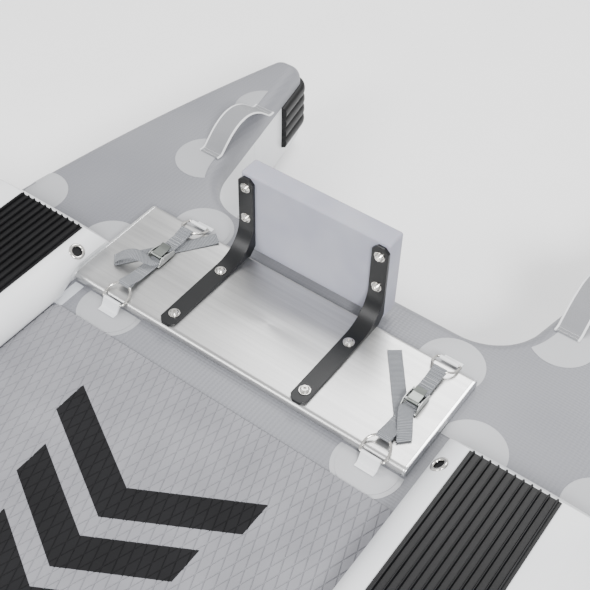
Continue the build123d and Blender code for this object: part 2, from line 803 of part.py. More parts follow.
for name, side in sides:
    with BuildPart() as tail:
        route = tails[name]
        lying, run = leg_plane(route["fold"], route["end"], side)
        with BuildSketch(lying):
            with Locations((run / 2, tail_clear + web_thickness / 2)):
                Rectangle(run, web_thickness)
        extrude(amount=web_width / 2, both=True)
        rising, run = leg_plane(route["fold"], route["buckle"], side)
        with BuildSketch(rising):
            with BuildLine():
                level = [(run * n / 2, rise) for n, rise in enumerate(route["rise"])]
                under = Spline(level)
                Polyline(
                    under @ 1,
                    (run, route["rise"][-1] + web_thickness),
                )
                Spline([(x, z + web_thickness) for x, z in level])
                Polyline((0, level[0][1] + web_thickness), (-1.5, 2.5), (0, tail_clear), (2, tail_clear + 1))
                Line((2, tail_clear + 1), level[0])
            make_face()
        extrude(amount=web_width / 2, both=True)
    save(tail, f"strap_tail_{name}")

# ---- eyelets in the side chambers ---------------------------------------------------------------
eyelet_x, eyelet_y = mount_x + 93.0, 371.6
eyelet_outer, eyelet_inner, eyelet_rise = 15.0, 8.0, 2.0
eyelet_tilt = math.asin((side_inner + shoulder - eyelet_y) / shoulder)
eyelet_z = deck + side_waist + shoulder * math.cos(eyelet_tilt)
with BuildPart() as eyelets:
    for _, side in sides:
        seat = Plane(
            origin=(eyelet_x, side * eyelet_y, eyelet_z + 0.1),
            z_dir=(0, -side * math.sin(eyelet_tilt), math.cos(eyelet_tilt)),
        )
        with BuildSketch(seat):
            Circle(eyelet_outer)
            Circle(eyelet_inner, mode=Mode.SUBTRACT)
        extrude(amount=eyelet_rise)
save(eyelets, "eyelets")

# ---- inflation valves ---------------------------------------------------------------------------
flange_radius, flange_height, barrel_wall = 32.0, 3.0, 2.5
cap_radius, cap_height, cap_skin = 25.0, 9.0, 2.0
stem_radius, head_disc, spider_height = 2.5, 11.0, 3.0
with BuildPart() as valve_bodies:
    for x, y, z in valves.values():
        with Locations((x, y, z)):
            Cylinder(flange_radius, flange_height, align=(Align.CENTER, Align.CENTER, Align.MIN))
            Cylinder(
                valve_bore, valve_depth, align=(Align.CENTER, Align.CENTER, Align.MAX)
            )
            Cylinder(
                valve_bore - barrel_wall,
                2 * valve_depth + 10,
                mode=Mode.SUBTRACT,
            )
        with Locations((x, y, z - valve_depth + spider_height)):
            Box(2 * valve_bore - 2, 5, spider_height, align=(Align.CENTER, Align.CENTER, Align.MAX))
            Box(5, 2 * valve_bore - 2, spider_height, align=(Align.CENTER, Align.CENTER, Align.MAX))
            Cylinder(
                5.0, spider_height, align=(Align.CENTER, Align.CENTER, Align.MAX)
            )
            Cylinder(stem_radius + 0.05, 4 * spider_height, mode=Mode.SUBTRACT)
save(valve_bodies, "valve_bodies")

for name, (x, y, z) in valves.items():
    with BuildPart() as poppet:
        floor_z = z - valve_depth
        with Locations((x, y, floor_z + spider_height + 7.0)):
            Cylinder(head_disc, 2.5, align=(Align.CENTER, Align.CENTER, Align.MIN))
        with Locations((x, y, floor_z)):
            Cylinder(stem_radius, spider_height + 11.0, align=(Align.CENTER, Align.CENTER, Align.MIN))
    save(poppet, f"valve_poppet_{name}")

    with BuildPart() as cap:
        base = z + flange_height
        with Locations((x, y, base + 0.3)):
            Cylinder(cap_radius, cap_height, align=(Align.CENTER, Align.CENTER, Align.MIN))
        fillet(cap.edges().group_by(Axis.Z)[-1], 3.0)
        with Locations((x, y, base + 0.3)):
            Cylinder(
                cap_radius - cap_skin,
                cap_height - cap_skin,
                align=(Align.CENTER, Align.CENTER, Align.MIN),
                mode=Mode.SUBTRACT,
            )
        with Locations((x, y, base + 0.3 + cap_height)):
            Box(34, 4, 4, align=(Align.CENTER, Align.CENTER, Align.MIN))
    save(cap, f"valve_cap_{name}")
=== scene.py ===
# %% [markdown]
# # An inflatable platform dinghy
# The boat is one thick air board with a swallow-tail stern, raised side chambers, a foam deck pad
# and an aluminium plank that carries a small outboard.  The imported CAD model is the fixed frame:
# hard parts keep its meshes and get real finishes, and everything soft is built again here in the
# place that its CAD solid holds.

# %% Load the frame
import math

import bmesh
import bpy
import numpy as np
from mathutils import Matrix, Vector, geometry


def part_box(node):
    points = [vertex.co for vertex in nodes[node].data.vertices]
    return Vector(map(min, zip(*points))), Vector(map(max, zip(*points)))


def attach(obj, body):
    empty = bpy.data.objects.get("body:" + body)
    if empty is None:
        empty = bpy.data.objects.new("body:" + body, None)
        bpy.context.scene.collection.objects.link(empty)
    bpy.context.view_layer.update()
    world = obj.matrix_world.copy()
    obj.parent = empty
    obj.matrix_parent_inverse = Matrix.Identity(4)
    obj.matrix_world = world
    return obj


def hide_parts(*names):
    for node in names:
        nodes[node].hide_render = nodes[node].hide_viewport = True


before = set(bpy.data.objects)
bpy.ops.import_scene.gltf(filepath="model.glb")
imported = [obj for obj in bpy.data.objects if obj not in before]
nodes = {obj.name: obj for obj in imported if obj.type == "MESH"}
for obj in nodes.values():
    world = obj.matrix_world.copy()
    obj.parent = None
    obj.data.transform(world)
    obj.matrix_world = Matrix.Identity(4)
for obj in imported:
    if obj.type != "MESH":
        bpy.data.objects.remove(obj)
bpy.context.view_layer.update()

# %% [markdown]
# ## The measures everything else is worked out from
# All places come from the frame's boxes, so a change to the CAD moves the looks with it.  Lengths
# are metres; MM turns a maker's millimetres into them.

# %% Measures
MM = 0.001
BODY = "boat"
SIDES = (("port", 1), ("stbd", -1))
hull_low, hull_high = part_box("hull_board")
plate_low, plate_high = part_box("motor_plate")
DECK = hull_high.z
HALF_BEAM = hull_high.y
TIP_X = hull_low.x
BOW_CENTRE = hull_high.x - HALF_BEAM
MOUNT_X = (plate_low.x + plate_high.x) / 2
TAPER_X = MOUNT_X + 548 * MM
TAPER_RADIUS = 4000 * MM
NOTCH_X = MOUNT_X - 207 * MM
NOTCH_RADIUS = 110 * MM
NOTCH_HALF = 243 * MM
TAIL_FLARE = math.radians(11.4)
TIP_RADIUS = 30 * MM
print("deck", round(DECK, 3), "half beam", round(HALF_BEAM, 3), "plate at", round(MOUNT_X, 3))


# %% [markdown]
# ## One way to add a node, and one way to read a colour
# Every node tree below, for looks and for shapes, is built with the same small helper: a node's
# kind, its links or socket values, and its settings.  Colours are written as the sRGB hex values
# that a paint chart gives and turned to linear light by one function.

# %% Helpers for node trees
def linear(code):
    """An sRGB hex colour as linear RGBA."""
    parts = [int(code[i : i + 2], 16) / 255 for i in (1, 3, 5)]
    return tuple(c / 12.92 if c <= 0.04045 else ((c + 0.055) / 1.055) ** 2.4 for c in parts) + (1,)


def add(tree, kind, sockets=None, **settings):
    """Add a node, apply its settings, and link or set its input sockets by name or number."""
    node = tree.nodes.new(kind)
    for key, value in settings.items():
        setattr(node, key, value)
    for key, value in (sockets or {}).items():
        if isinstance(value, bpy.types.NodeSocket):
            tree.links.new(value, node.inputs[key])
        else:
            node.inputs[key].default_value = value
    return node


def finish_material(name, shader_values, height=None, distance=0.0003, strength=1.0, edge=0.0):
    """Start a material; height(tree, place) may return the sockets that drive bump and colour.
    edge is the radius, in metres, that sharp metal edges are shaded with."""
    material = bpy.data.materials.new(name)
    material.use_nodes = True
    tree = material.node_tree
    tree.nodes.clear()
    shader = add(tree, "ShaderNodeBsdfPrincipled", shader_values)
    output = add(tree, "ShaderNodeOutputMaterial", {"Surface": shader.outputs[0]})
    place = add(tree, "ShaderNodeTexCoord").outputs["Object"]
    if height:
        made = height(tree, place)
        if "height" in made:
            bump = add(
                tree,
                "ShaderNodeBump",
                {"Height": made["height"], "Distance": distance, "Strength": strength},
            )
            tree.links.new(bump.outputs[0], shader.inputs["Normal"])
            if edge:
                soft_edge = add(tree, "ShaderNodeBevel", {"Radius": edge}, samples=6)
                tree.links.new(soft_edge.outputs[0], bump.inputs["Normal"])
        for key in ("Base Color", "Roughness"):
            if key in made:
                tree.links.new(made[key], shader.inputs[key])
    return material


def maths(tree, operation, *values):
    """One Math node's result."""
    return add(
        tree, "ShaderNodeMath", dict(enumerate(values)), operation=operation
    ).outputs[0]


def tint(tree, share, low, high, start=0.0, end=1.0):
    """Colour that runs from one hex value to another as share goes from start to end."""
    ramp = add(tree, "ShaderNodeValToRGB", {0: share})
    ramp.color_ramp.elements[0].position = start
    ramp.color_ramp.elements[1].position = end
    ramp.color_ramp.elements[0].color = linear(low)
    ramp.color_ramp.elements[1].color = linear(high)
    return ramp.outputs[0]


def grain(tree, place, size_mm, detail=2.0, stretch=(1, 1, 1)):
    """Noise whose patches are about size_mm across, stretched along the object's axes."""
    scaled = add(tree, "ShaderNodeMapping", {"Vector": place, "Scale": stretch})
    return add(
        tree,
        "ShaderNodeTexNoise",
        {"Vector": scaled.outputs[0], "Scale": 1 / (size_mm * MM), "Detail": detail},
    ).outputs[0]


def stripes(tree, place, pitch_mm, angle=0.0, axis="X"):
    """Smooth stripes of one real pitch across an axis of the place, turned about Z."""
    turned = add(tree, "ShaderNodeMapping", {"Vector": place, "Rotation": (0, 0, angle)})
    split = add(tree, "ShaderNodeSeparateXYZ", {0: turned.outputs[0]})
    phase = maths(tree, "MULTIPLY", split.outputs[axis], 2 * math.pi / (pitch_mm * MM))
    return maths(tree, "SINE", phase)


print("node helpers ready")

# %% [markdown]
# ## Coated fabric
# The hull is PVC-coated fabric over thousands of drop-stitch threads.  The threads pull a faint
# diamond lattice into the deck, about 9 mm from thread to thread.  Plasticised PVC has an IOR near
# 1.53 and a satin surface.  The deck's skin is grey, the walls and patches are white, and thin
# translucent tape closes the joints.

# %% Coated fabric finishes
def thread_lattice(tree, place):
    """Two crossing sets of stripes, with a slow change of tone from handling; the lattice also
    darkens its hollows a little in the colour, as painted shade.
    """
    one = stripes(tree, place, 9.0, math.radians(35))
    two = stripes(tree, place, 9.0, math.radians(-35))
    lattice = maths(tree, "MULTIPLY", one, two)
    weave = grain(tree, place, 1.4)
    cloud = grain(tree, place, 240.0, 1.0)
    height = maths(tree, "ADD", lattice, maths(tree, "MULTIPLY", weave, 0.6))
    # A twentieth of the lattice goes into the colour: painted shade in its hollows, painted
    # highlight on its crests.
    mixed = maths(tree, "ADD", cloud, maths(tree, "MULTIPLY", lattice, 0.05))
    return {
        "height": height,
        "Base Color": tint(tree, mixed, "#707177", "#7E7F84", 0.3, 0.7),
        "Roughness": maths(tree, "ADD", 0.42, maths(tree, "MULTIPLY", weave, 0.12)),
    }


def calendered(low, high):
    """Smooth calendered sheet: a very fine grain and a slow tone change."""

    def build(tree, place):
        fine = grain(tree, place, 2.2)
        cloud = grain(tree, place, 180.0, 1.0)
        return {"height": fine, "Base Color": tint(tree, cloud, low, high, 0.3, 0.7)}

    return build


# Satin PVC coating: soft highlights over the thread lattice.
deck_fabric = finish_material(
    "grey_pvc_coated_fabric", {"IOR": 1.53}, thread_lattice, 0.00035, 0.7
)
# White calendered PVC: smoother and brighter than the deck's skin.
wall_fabric = finish_material(
    "white_pvc_coated_fabric",
    {"IOR": 1.53, "Roughness": 0.36},
    calendered("#D3D5D8", "#E2E3E4"),
    0.00012,
    0.5,
)
# Welded patches are thin pale sheet, a tone above the deck.
patch_fabric = finish_material(
    "pale_pvc_patch", {"IOR": 1.53, "Roughness": 0.4}, calendered("#9B9C9F", "#A7A8AB"), 0.0001, 0.5
)
# Weld tape is clear film; over the fabric it reads as a slightly glossy pale band.
tape_film = finish_material(
    "translucent_weld_tape",
    {"IOR": 1.5, "Roughness": 0.3},
    calendered("#B9BCC2", "#C8CACE"),
    0.0001,
    0.5,
)
print("coated fabrics:", deck_fabric.name, wall_fabric.name, patch_fabric.name, tape_film.name)

# %% [markdown]
# ## Foam, rubber and webbing
# The deck pad is closed-cell EVA foam: matt, with a fine open grain about half a millimetre
# across.  The rubber of the covers and bumpers is black with a satin skin.  Webbing is woven
# polyester: its weft makes a cross rib about every 2.2 mm, drawn from the strip's own UV map so
# that it follows every fold.

# %% Foam, rubber and webbing finishes
def foam_grain(low, high):
    def build(tree, place):
        pores = grain(tree, place, 1.1, 3.0)
        cloud = grain(tree, place, 90.0, 2.0)
        shade = maths(tree, "ADD", cloud, maths(tree, "MULTIPLY", pores, 0.25))
        return {"height": pores, "Base Color": tint(tree, shade, low, high, 0.35, 0.85)}

    return build


def rubber_skin(tree, place):
    speckle = grain(tree, place, 1.6, 3.0)
    wear = grain(tree, place, 60.0, 2.0)
    return {
        "height": speckle,
        "Base Color": tint(tree, wear, "#060607", "#0E0E10", 0.3, 0.75),
        "Roughness": maths(tree, "ADD", 0.36, maths(tree, "MULTIPLY", speckle, 0.15)),
    }


def woven(rib_mm, low, high):
    """Cross ribs along V and warp yarns across U, both in metres on the strip's own UV map; they
    shape the bump and also the colour, where raised parts are lighter as painted highlight and
    hollows darker as painted shade.
    """

    def build(tree, place):
        strip = add(tree, "ShaderNodeUVMap", uv_map="strip").outputs[0]
        ribs = stripes(tree, strip, rib_mm, axis="Y")
        yarns = stripes(tree, strip, 1.3, axis="X")
        fuzz = grain(tree, place, 0.7, 3.0)
        height = maths(tree, "ADD", ribs, maths(tree, "MULTIPLY", yarns, 0.35))
        # Ribs and yarns lighten the colour where raised and darken it in the hollows: painted
        # highlight and shade; the fuzz is the yarn's own tone.
        shade = maths(tree, "ADD", maths(tree, "MULTIPLY", height, 0.22), fuzz)
        return {"height": height, "Base Color": tint(tree, shade, low, high, 0.2, 0.8)}

    return build


# Closed-cell foam is matt, so its grooves show by shade and not by shine.
pad_foam = finish_material(
    "grey_eva_foam", {"Roughness": 0.78}, foam_grain("#75757A", "#838388"), 0.0002, 0.6
)
mark_foam = finish_material(
    "black_eva_foam",
    {"Roughness": 0.85, "Specular IOR Level": 0.25},
    foam_grain("#0C0C0E", "#151517"),
    0.0002,
    0.6,
)
# Moulded rubber: nearly black, with a low satin shine along each rib.
cover_rubber = finish_material(
    "black_ribbed_rubber", {"IOR": 1.52, "Specular IOR Level": 0.25}, rubber_skin, 0.00015, 0.6
)
# Woven polyester scatters light off its yarns; a little sheen gives the dull bright edge, and the
# ribs' light crests and dark hollows are painted into the colour.
strap_weave = finish_material(
    "grey_polyester_webbing",
    {"Roughness": 0.66, "Sheen Weight": 0.15},
    woven(2.6, "#55585D", "#A3A6AB"),
    0.0007,
    1.0,
)
handle_weave = finish_material(
    "grey_padded_webbing",
    {"Roughness": 0.6, "Sheen Weight": 0.2},
    woven(1.6, "#6F7074", "#8C8D90"),
    0.0002,
    0.7,
)
handle_binding = finish_material(
    "pale_edge_binding", {"Roughness": 0.5}, calendered("#CFD0D2", "#DFE0E1"), 0.0001, 0.4
)
print("soft finishes ready")

# %% [markdown]
# ## Metals and mouldings
# The plank is extruded aluminium, brushed along its length, so its scratches run along Y and its
# shine stretches across them.  The hardware is polished stainless steel.  The brackets have a
# satin black powder coat with a fine orange peel, and the block is moulded in pale grey plastic.

# %% Metal and plastic finishes
def brushed(low, high, scratch_mm, along):
    """Long scratches along one axis, a few of them deeper, with a slow change of tone."""

    def build(tree, place):
        scratches = grain(tree, place, scratch_mm, 3.0, along)
        bands = grain(tree, place, 9.0, 1.0, along)
        cloud = grain(tree, place, 160.0, 1.0)
        fine = maths(tree, "MULTIPLY", scratches, 0.5)
        mix = maths(tree, "ADD", fine, maths(tree, "MULTIPLY", bands, 0.5))
        slow = maths(tree, "MULTIPLY", cloud, 0.3)
        shade = maths(tree, "ADD", maths(tree, "MULTIPLY", mix, 0.7), slow)
        return {
            "height": mix,
            "Base Color": tint(tree, shade, low, high, 0.35, 0.65),
            "Roughness": maths(tree, "ADD", 0.26, maths(tree, "MULTIPLY", scratches, 0.22)),
        }

    return build


def polished(low, high):
    def build(tree, place):
        cloud = grain(tree, place, 6.0, 2.0)
        return {
            "height": cloud,
            "Base Color": tint(tree, cloud, low, high, 0.3, 0.7),
            "Roughness": maths(tree, "ADD", 0.13, maths(tree, "MULTIPLY", cloud, 0.1)),
        }

    return build


def moulded(low, high, peel_mm):
    def build(tree, place):
        peel = grain(tree, place, peel_mm, 2.0)
        cloud = grain(tree, place, 70.0, 1.0)
        return {"height": peel, "Base Color": tint(tree, cloud, low, high, 0.3, 0.7)}

    return build


# Brushed extrusion: fine scratches along the plank stretch its shine across them.
plank_metal = finish_material(
    "brushed_aluminium_plank",
    {"Metallic": 1.0, "Anisotropic": 0.5},
    brushed("#B4B4B4", "#D0D0CF", 0.7, (1, 0.01, 1)),
    0.00006,
    0.5,
)
cap_metal = finish_material(
    "bright_aluminium_sheet",
    {"Metallic": 1.0},
    polished("#DCDDDE", "#EEEFEF"),
    0.00004,
    0.4,
)
# Polished stainless: sharp reflections, a little warmer than aluminium.
stainless = finish_material(
    "polished_stainless_steel",
    {"Metallic": 1.0},
    polished("#BDBBB6", "#D8D6D2"),
    0.00005,
    0.3,
    0.0003,
)
buckle_sheet = finish_material(
    "stamped_stainless_sheet",
    {"Metallic": 1.0},
    brushed("#B2B4B2", "#D2D4D2", 0.5, (0.05, 1, 1)),
    0.00005,
    0.5,
    0.0004,
)
# Passivated zinc: a darker, duller grey than the buckle's sheet.
lever_metal = finish_material(
    "passivated_zinc_casting",
    {"Metallic": 1.0},
    brushed("#6F7370", "#878B87", 0.9, (1, 0.1, 1)),
    0.00006,
    0.6,
    0.0006,
)
# Powder coat: satin black with a fine orange peel in its highlights.
bracket_coat = finish_material(
    "satin_black_powder_coat",
    {"Roughness": 0.36, "IOR": 1.5, "Specular IOR Level": 0.35},
    moulded("#08090B", "#0F1012", 0.9),
    0.00008,
    0.4,
    0.0009,
)
# Moulded polyethylene: waxy and soft, so a little light goes into it.
block_plastic = finish_material(
    "moulded_grey_hdpe",
    {"Roughness": 0.5, "IOR": 1.5, "Subsurface Weight": 0.05},
    moulded("#9293A0", "#9C9DA8", 1.2),
    0.00008,
    0.5,
)
valve_nylon = finish_material(
    "moulded_grey_nylon",
    {"Roughness": 0.42, "IOR": 1.53},
    moulded("#B8BABD", "#C6C8CA", 0.8),
    0.00006,
    0.5,
)
poppet_nylon = finish_material(
    "moulded_dark_nylon",
    {"Roughness": 0.45, "IOR": 1.53},
    moulded("#47494C", "#585A5E", 0.8),
    0.00006,
    0.5,
)
print("hard finishes ready")

# %% [markdown]
# ## Finishes for the parts that keep their CAD shape
# Metal and moulded parts already have their true shape, so each only takes its finish.

# %% Dress the CAD parts
steel_starts = ("plate_s", "plate_w", "plate_i", "block_", "d_ring", "eyelets")
sheet_starts = ("cam_frame", "cam_pin", "cam_spring")
kept_finish = {
    plank_metal: ["motor_plate"],
    cap_metal: ["plate_end_caps"],
    stainless: [n for n in nodes if n.startswith(steel_starts)],
    buckle_sheet: [n for n in nodes if n.startswith(sheet_starts)],
    lever_metal: [n for n in nodes if n.startswith("cam_lever")],
    bracket_coat: ["bracket_port", "bracket_stbd"],
    block_plastic: ["transom_block"],
    valve_nylon: ["valve_bodies"] + [n for n in nodes if n.startswith("valve_cap")],
    poppet_nylon: [n for n in nodes if n.startswith("valve_poppet")],
    patch_fabric: ["corner_patches", "ring_patches", "handle_patches"],
    wall_fabric: ["ring_loops"],
    tape_film: ["weld_tape_port", "weld_tape_stbd"],
}
for material, names in kept_finish.items():
    for name in names:
        mesh_slots = nodes[name].data.materials
        mesh_slots.clear()
        mesh_slots.append(material)
print("dressed", sum(len(v) for v in kept_finish.values()), "CAD parts")


# %% [markdown]
# ## Turning points into pieces
# A soft shape here is mostly rows of points: each row is one station along a path, and
# neighbouring rows are joined by quads.  `skin` makes such a mesh, `settle` merges its doubles,
# turns its faces outwards, shades it and lets it ride on the boat.

# %% Mesh helpers
def settle(name, bm, materials, replaced=(), body=BODY, angle=35):
    """Turn a bmesh into a finished piece that rides on a body."""
    bmesh.ops.remove_doubles(bm, verts=bm.verts, dist=0.00001)
    bmesh.ops.recalc_face_normals(bm, faces=bm.faces)
    mesh = bpy.data.meshes.new(name)
    bm.to_mesh(mesh)
    bm.free()
    return place_piece(name, mesh, materials, replaced, body, angle)


def place_piece(name, mesh, materials, replaced=(), body=BODY, angle=35):
    """Link a mesh as a piece, shade it smooth up to an angle, and bind it to a body."""
    piece = bpy.data.objects.new(name, mesh)
    bpy.context.scene.collection.objects.link(piece)
    for material in materials or []:
        mesh.materials.append(material)
    mesh.polygons.foreach_set("use_smooth", [True] * len(mesh.polygons))
    mesh.set_sharp_from_angle(angle=math.radians(angle))
    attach(piece, body)
    if replaced:
        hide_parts(*replaced)
    faces = sum(len(p.vertices) - 2 for p in mesh.polygons)
    print(name, "has", faces, "triangles")
    return piece


def skin(bm, rows, closed_rows=True, closed_path=False, strip=None):
    """Join rows of points with quads; strip, if given, is the UV of each point of each row."""
    grid = [[bm.verts.new(p) for p in row] for row in rows]
    layer = bm.loops.layers.uv.get("strip") or bm.loops.layers.uv.new("strip")
    count = len(rows[0])
    made = []
    for i in range(len(rows) if closed_path else len(rows) - 1):
        after = (i + 1) % len(rows)
        for j in range(count if closed_rows else count - 1):
            nxt = (j + 1) % count
            face = bm.faces.new((grid[i][j], grid[i][nxt], grid[after][nxt], grid[after][j]))
            made.append(face)
            if strip:
                uvs = (strip[i][j], strip[i][nxt], strip[after][nxt], strip[after][j])
                for loop, uv in zip(face.loops, uvs):
                    loop[layer].uv = uv
    return grid, made


def arc_points(centre, radius, start, end, step=math.radians(4)):
    """Points and outward normals along an arc in plan; angles in radians."""
    count = max(2, math.ceil(abs(end - start) / step))
    turns = [start + (end - start) * n / count for n in range(count + 1)]
    ways = [(math.cos(a), math.sin(a)) for a in turns]
    return [(centre[0] + radius * c, centre[1] + radius * s, c, s) for c, s in ways]


def line_points(start, end, normal, step=30 * MM):
    """Points and a steady outward normal along a straight stretch."""
    count = max(1, math.ceil(math.dist(start, end) / step))
    run, rise = end[0] - start[0], end[1] - start[1]
    return [
        (start[0] + run * n / count, start[1] + rise * n / count, *normal)
        for n in range(count + 1)
    ]


print("mesh helpers ready")

# %% [markdown]
# ## The hull's outline
# The plan is a round bow, straight sides, slowly tapering quarters, two narrow tails with rounded
# tips, and a notch between them.  Each point carries its outward normal, so a wall, a bumper or a
# seam is the same outline moved in or out.

# %% Outline of the hull
def hull_outline():
    """The closed plan, as (x, y, normal x, normal y), from the bow round port and back."""
    taper_centre = (TAPER_X, HALF_BEAM - TAPER_RADIUS)
    tip_centre_x = TIP_X + TIP_RADIUS
    reach = TAPER_RADIUS - TIP_RADIUS
    lean = math.acos((tip_centre_x - taper_centre[0]) / reach)
    outer_centre = (tip_centre_x, taper_centre[1] + reach * math.sin(lean))
    corner = (NOTCH_X - NOTCH_RADIUS, NOTCH_HALF)
    flare_x = corner[0] + NOTCH_RADIUS * math.sin(TAIL_FLARE)
    flare_y = corner[1] + NOTCH_RADIUS * math.cos(TAIL_FLARE)
    inner_y = flare_y + (flare_x - tip_centre_x) * math.tan(TAIL_FLARE)
    inner_centre = (tip_centre_x, inner_y + TIP_RADIUS / math.cos(TAIL_FLARE))
    inward = (-math.sin(TAIL_FLARE), -math.cos(TAIL_FLARE))
    flare_end = (
        inner_centre[0] + TIP_RADIUS * inward[0],
        inner_centre[1] + TIP_RADIUS * inward[1],
    )
    half = arc_points((BOW_CENTRE, 0), HALF_BEAM, 0, math.pi / 2, math.radians(2.5))
    half += line_points((BOW_CENTRE, HALF_BEAM), (TAPER_X, HALF_BEAM), (0, 1))[1:]
    half += arc_points(taper_centre, TAPER_RADIUS, math.pi / 2, lean, math.radians(0.5))[1:]
    half += arc_points(outer_centre, TIP_RADIUS, lean, math.pi, math.radians(10))[1:]
    tip_end = 1.5 * math.pi - TAIL_FLARE
    half += arc_points(inner_centre, TIP_RADIUS, math.pi, tip_end, math.radians(10))
    half += line_points(flare_end, (flare_x, flare_y), inward)[1:]
    bend = arc_points(corner, NOTCH_RADIUS, math.pi / 2 - TAIL_FLARE, 0)[1:]
    half += [(x, y, -nx, -ny) for x, y, nx, ny in bend]
    half += line_points((NOTCH_X, NOTCH_HALF), (NOTCH_X, 0), (-1, 0))[1:]
    mirrored = [(x, -y, nx, -ny) for x, y, nx, ny in reversed(half[1:-1])]
    return half + mirrored


outline = hull_outline()
print("outline has", len(outline), "points")

# %% [markdown]
# ## The hull board
# A drop-stitch board has a flat deck and bottom and a wall that swells a little between them.  The
# grey deck skin wraps the rolled edge and is glued over the white wall, so it ends in a fine step.
# The bottom sweeps up towards the bow.  The section is a list of points (in from the outline, up);
# the whole shape is that section carried round the outline.

# %% The hull board
EDGE_ROLL = 27 * MM
SEAM_Z = DECK - 38 * MM
SKIN_STEP = 1.1 * MM
RAKE_START = BOW_CENTRE - 60 * MM
RAKE_HEIGHT = 95 * MM
RAKE_RUN = hull_high.x + MM - RAKE_START
RAKE_RADIUS = (RAKE_RUN**2 + RAKE_HEIGHT**2) / (2 * RAKE_HEIGHT)


def raked(x, z):
    """Height after the bottom's sweep: the floor rises towards the bow, the deck stays."""
    if x <= RAKE_START or z >= DECK * 0.75:
        return z
    floor = RAKE_RADIUS - math.sqrt(RAKE_RADIUS**2 - (x - RAKE_START) ** 2)
    return floor + z * (DECK * 0.75 - floor) / (DECK * 0.75)


def wall_inset(z):
    """How far in from the outline the rolled and swelling wall is at a height."""
    near = max(EDGE_ROLL - min(z, DECK - z), 0)
    roll = EDGE_ROLL - math.sqrt(max(EDGE_ROLL**2 - near**2, 0))
    return roll + 1.5 * MM * (2 * z / DECK - 1) ** 2


def loop_at(inset, z):
    return [(x - nx * inset, y - ny * inset, raked(x, z)) for x, y, nx, ny in outline]


def close_flat(bm, ring, inner_points, material_index):
    """Fill the flat inside a ring of vertices with triangles that also use inner points."""
    count = len(ring)
    flat = [v.co.xy for v in ring] + [Vector(p[:2]) for p in inner_points]
    edges = [(k, (k + 1) % count) for k in range(count)]
    made = geometry.delaunay_2d_cdt(flat, edges, [], 1, 0.000001)
    extra = [bm.verts.new(p) for p in inner_points]
    pool = list(ring) + extra
    for triangle in made[2]:
        corners = [pool[made[3][k][0]] for k in triangle]
        if len(set(corners)) == 3:
            bm.faces.new(corners).material_index = material_index


roll_steps = [EDGE_ROLL * (1 - math.cos(math.radians(a))) for a in range(0, 90, 12)]
wall_steps = list(np.linspace(EDGE_ROLL, SEAM_Z, 7))
white_rows = [loop_at(wall_inset(z), z) for z in roll_steps + wall_steps]
cover_steps = [SEAM_Z, SEAM_Z + 3 * MM] + [DECK - z for z in [EDGE_ROLL] + roll_steps[::-1]]
grey_rows = [
    loop_at(wall_inset(z) - SKIN_STEP * (DECK - z) / (DECK - SEAM_Z), z) for z in cover_steps
]
bm = bmesh.new()
grid, faces = skin(bm, white_rows + grey_rows)
for index, face in enumerate(faces):
    face.material_index = 1 if index // len(outline) < len(white_rows) - 1 else 0
close_flat(bm, grid[-1], [], 0)
sweep_points = []
for x in np.linspace(RAKE_START, hull_high.x - 50 * MM, 16):
    bow = math.sqrt(max((HALF_BEAM - 45 * MM) ** 2 - max(x - BOW_CENTRE, 0) ** 2, 0))
    sweep_points += [(x, y, raked(x, 0.0)) for y in np.linspace(-bow, bow, 13)]
close_flat(bm, grid[0], sweep_points, 1)
board_fabrics = [deck_fabric, wall_fabric]
settle("hull_board_skin", bm, board_fabrics, ["hull_board"], angle=50)

# %% [markdown]
# ## The raised side chambers
# The two chambers are one swept section that meets at the bow: a round foot, a taller round
# shoulder and a flat top.  The after ends are cut on a slant and closed with a panel that swells a
# little.  The plank's starboard end presses into the soft wall, so points near it move aside.

# %% The side chambers
chamber_low, chamber_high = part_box("side_chamber_port")
INNER = 352 * MM
OUTER = 645 * MM
FOOT = 20 * MM
SHOULDER = 46 * MM
CHAMBER_TOP = DECK + 66 * MM
CHAMBER_BACK = chamber_low.x
END_SLANT = 43 * MM


def chamber_section():
    """(distance from the centreline, height) round one chamber, from the inner foot."""
    turns = [math.radians(a) for a in range(0, 91, 10)]
    inner_foot = [
        (INNER + FOOT * (1 - math.sin(a)), DECK + FOOT * (1 - math.cos(a))) for a in turns
    ]
    inner_top = [
        (INNER + SHOULDER * (1 - math.cos(a)), DECK + FOOT + SHOULDER * math.sin(a)) for a in turns
    ][1:]
    half = inner_foot + inner_top
    flat_width = OUTER - INNER - 2 * SHOULDER
    flat = [(INNER + SHOULDER + flat_width * n / 6, CHAMBER_TOP) for n in range(1, 6)]
    mirrored = [(INNER + OUTER - y, z) for y, z in reversed(half)]
    return half + flat + mirrored


section = chamber_section()


def chamber_rows():
    """Rows of points from the port end, round the bow, to the starboard end."""
    straight = [n / 40 for n in range(41)]
    rows = []
    for share in straight:
        row = []
        for y, z in section:
            back = CHAMBER_BACK + END_SLANT * (z - DECK) / (CHAMBER_TOP - DECK)
            row.append((back + (BOW_CENTRE - back) * share, y, z))
        rows.append(row)
    for n in range(1, 73):
        a = math.pi / 2 - math.pi * n / 72
        rows.append([(BOW_CENTRE + y * math.cos(a), y * math.sin(a), z) for y, z in section])
    rows += [[(x, -y, z) for x, y, z in row] for row in reversed(rows[:40])]
    return rows


def press_aside(point):
    """Move a wall point out of the plank's way, easing off over a few centimetres."""
    x, y, z = point
    beside = max(plate_low.x - x, x - plate_high.x, 0) / (35 * MM)
    above = max(z - plate_high.z - MM, 0) / (28 * MM)
    hold = max(0.0, 1 - beside) * max(0.0, 1 - above)
    hold = hold * hold * (3 - 2 * hold)
    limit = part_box("plate_end_caps")[0].y - MM
    return (x, y + (limit - y) * hold if y > limit and y < 0 else y, z)


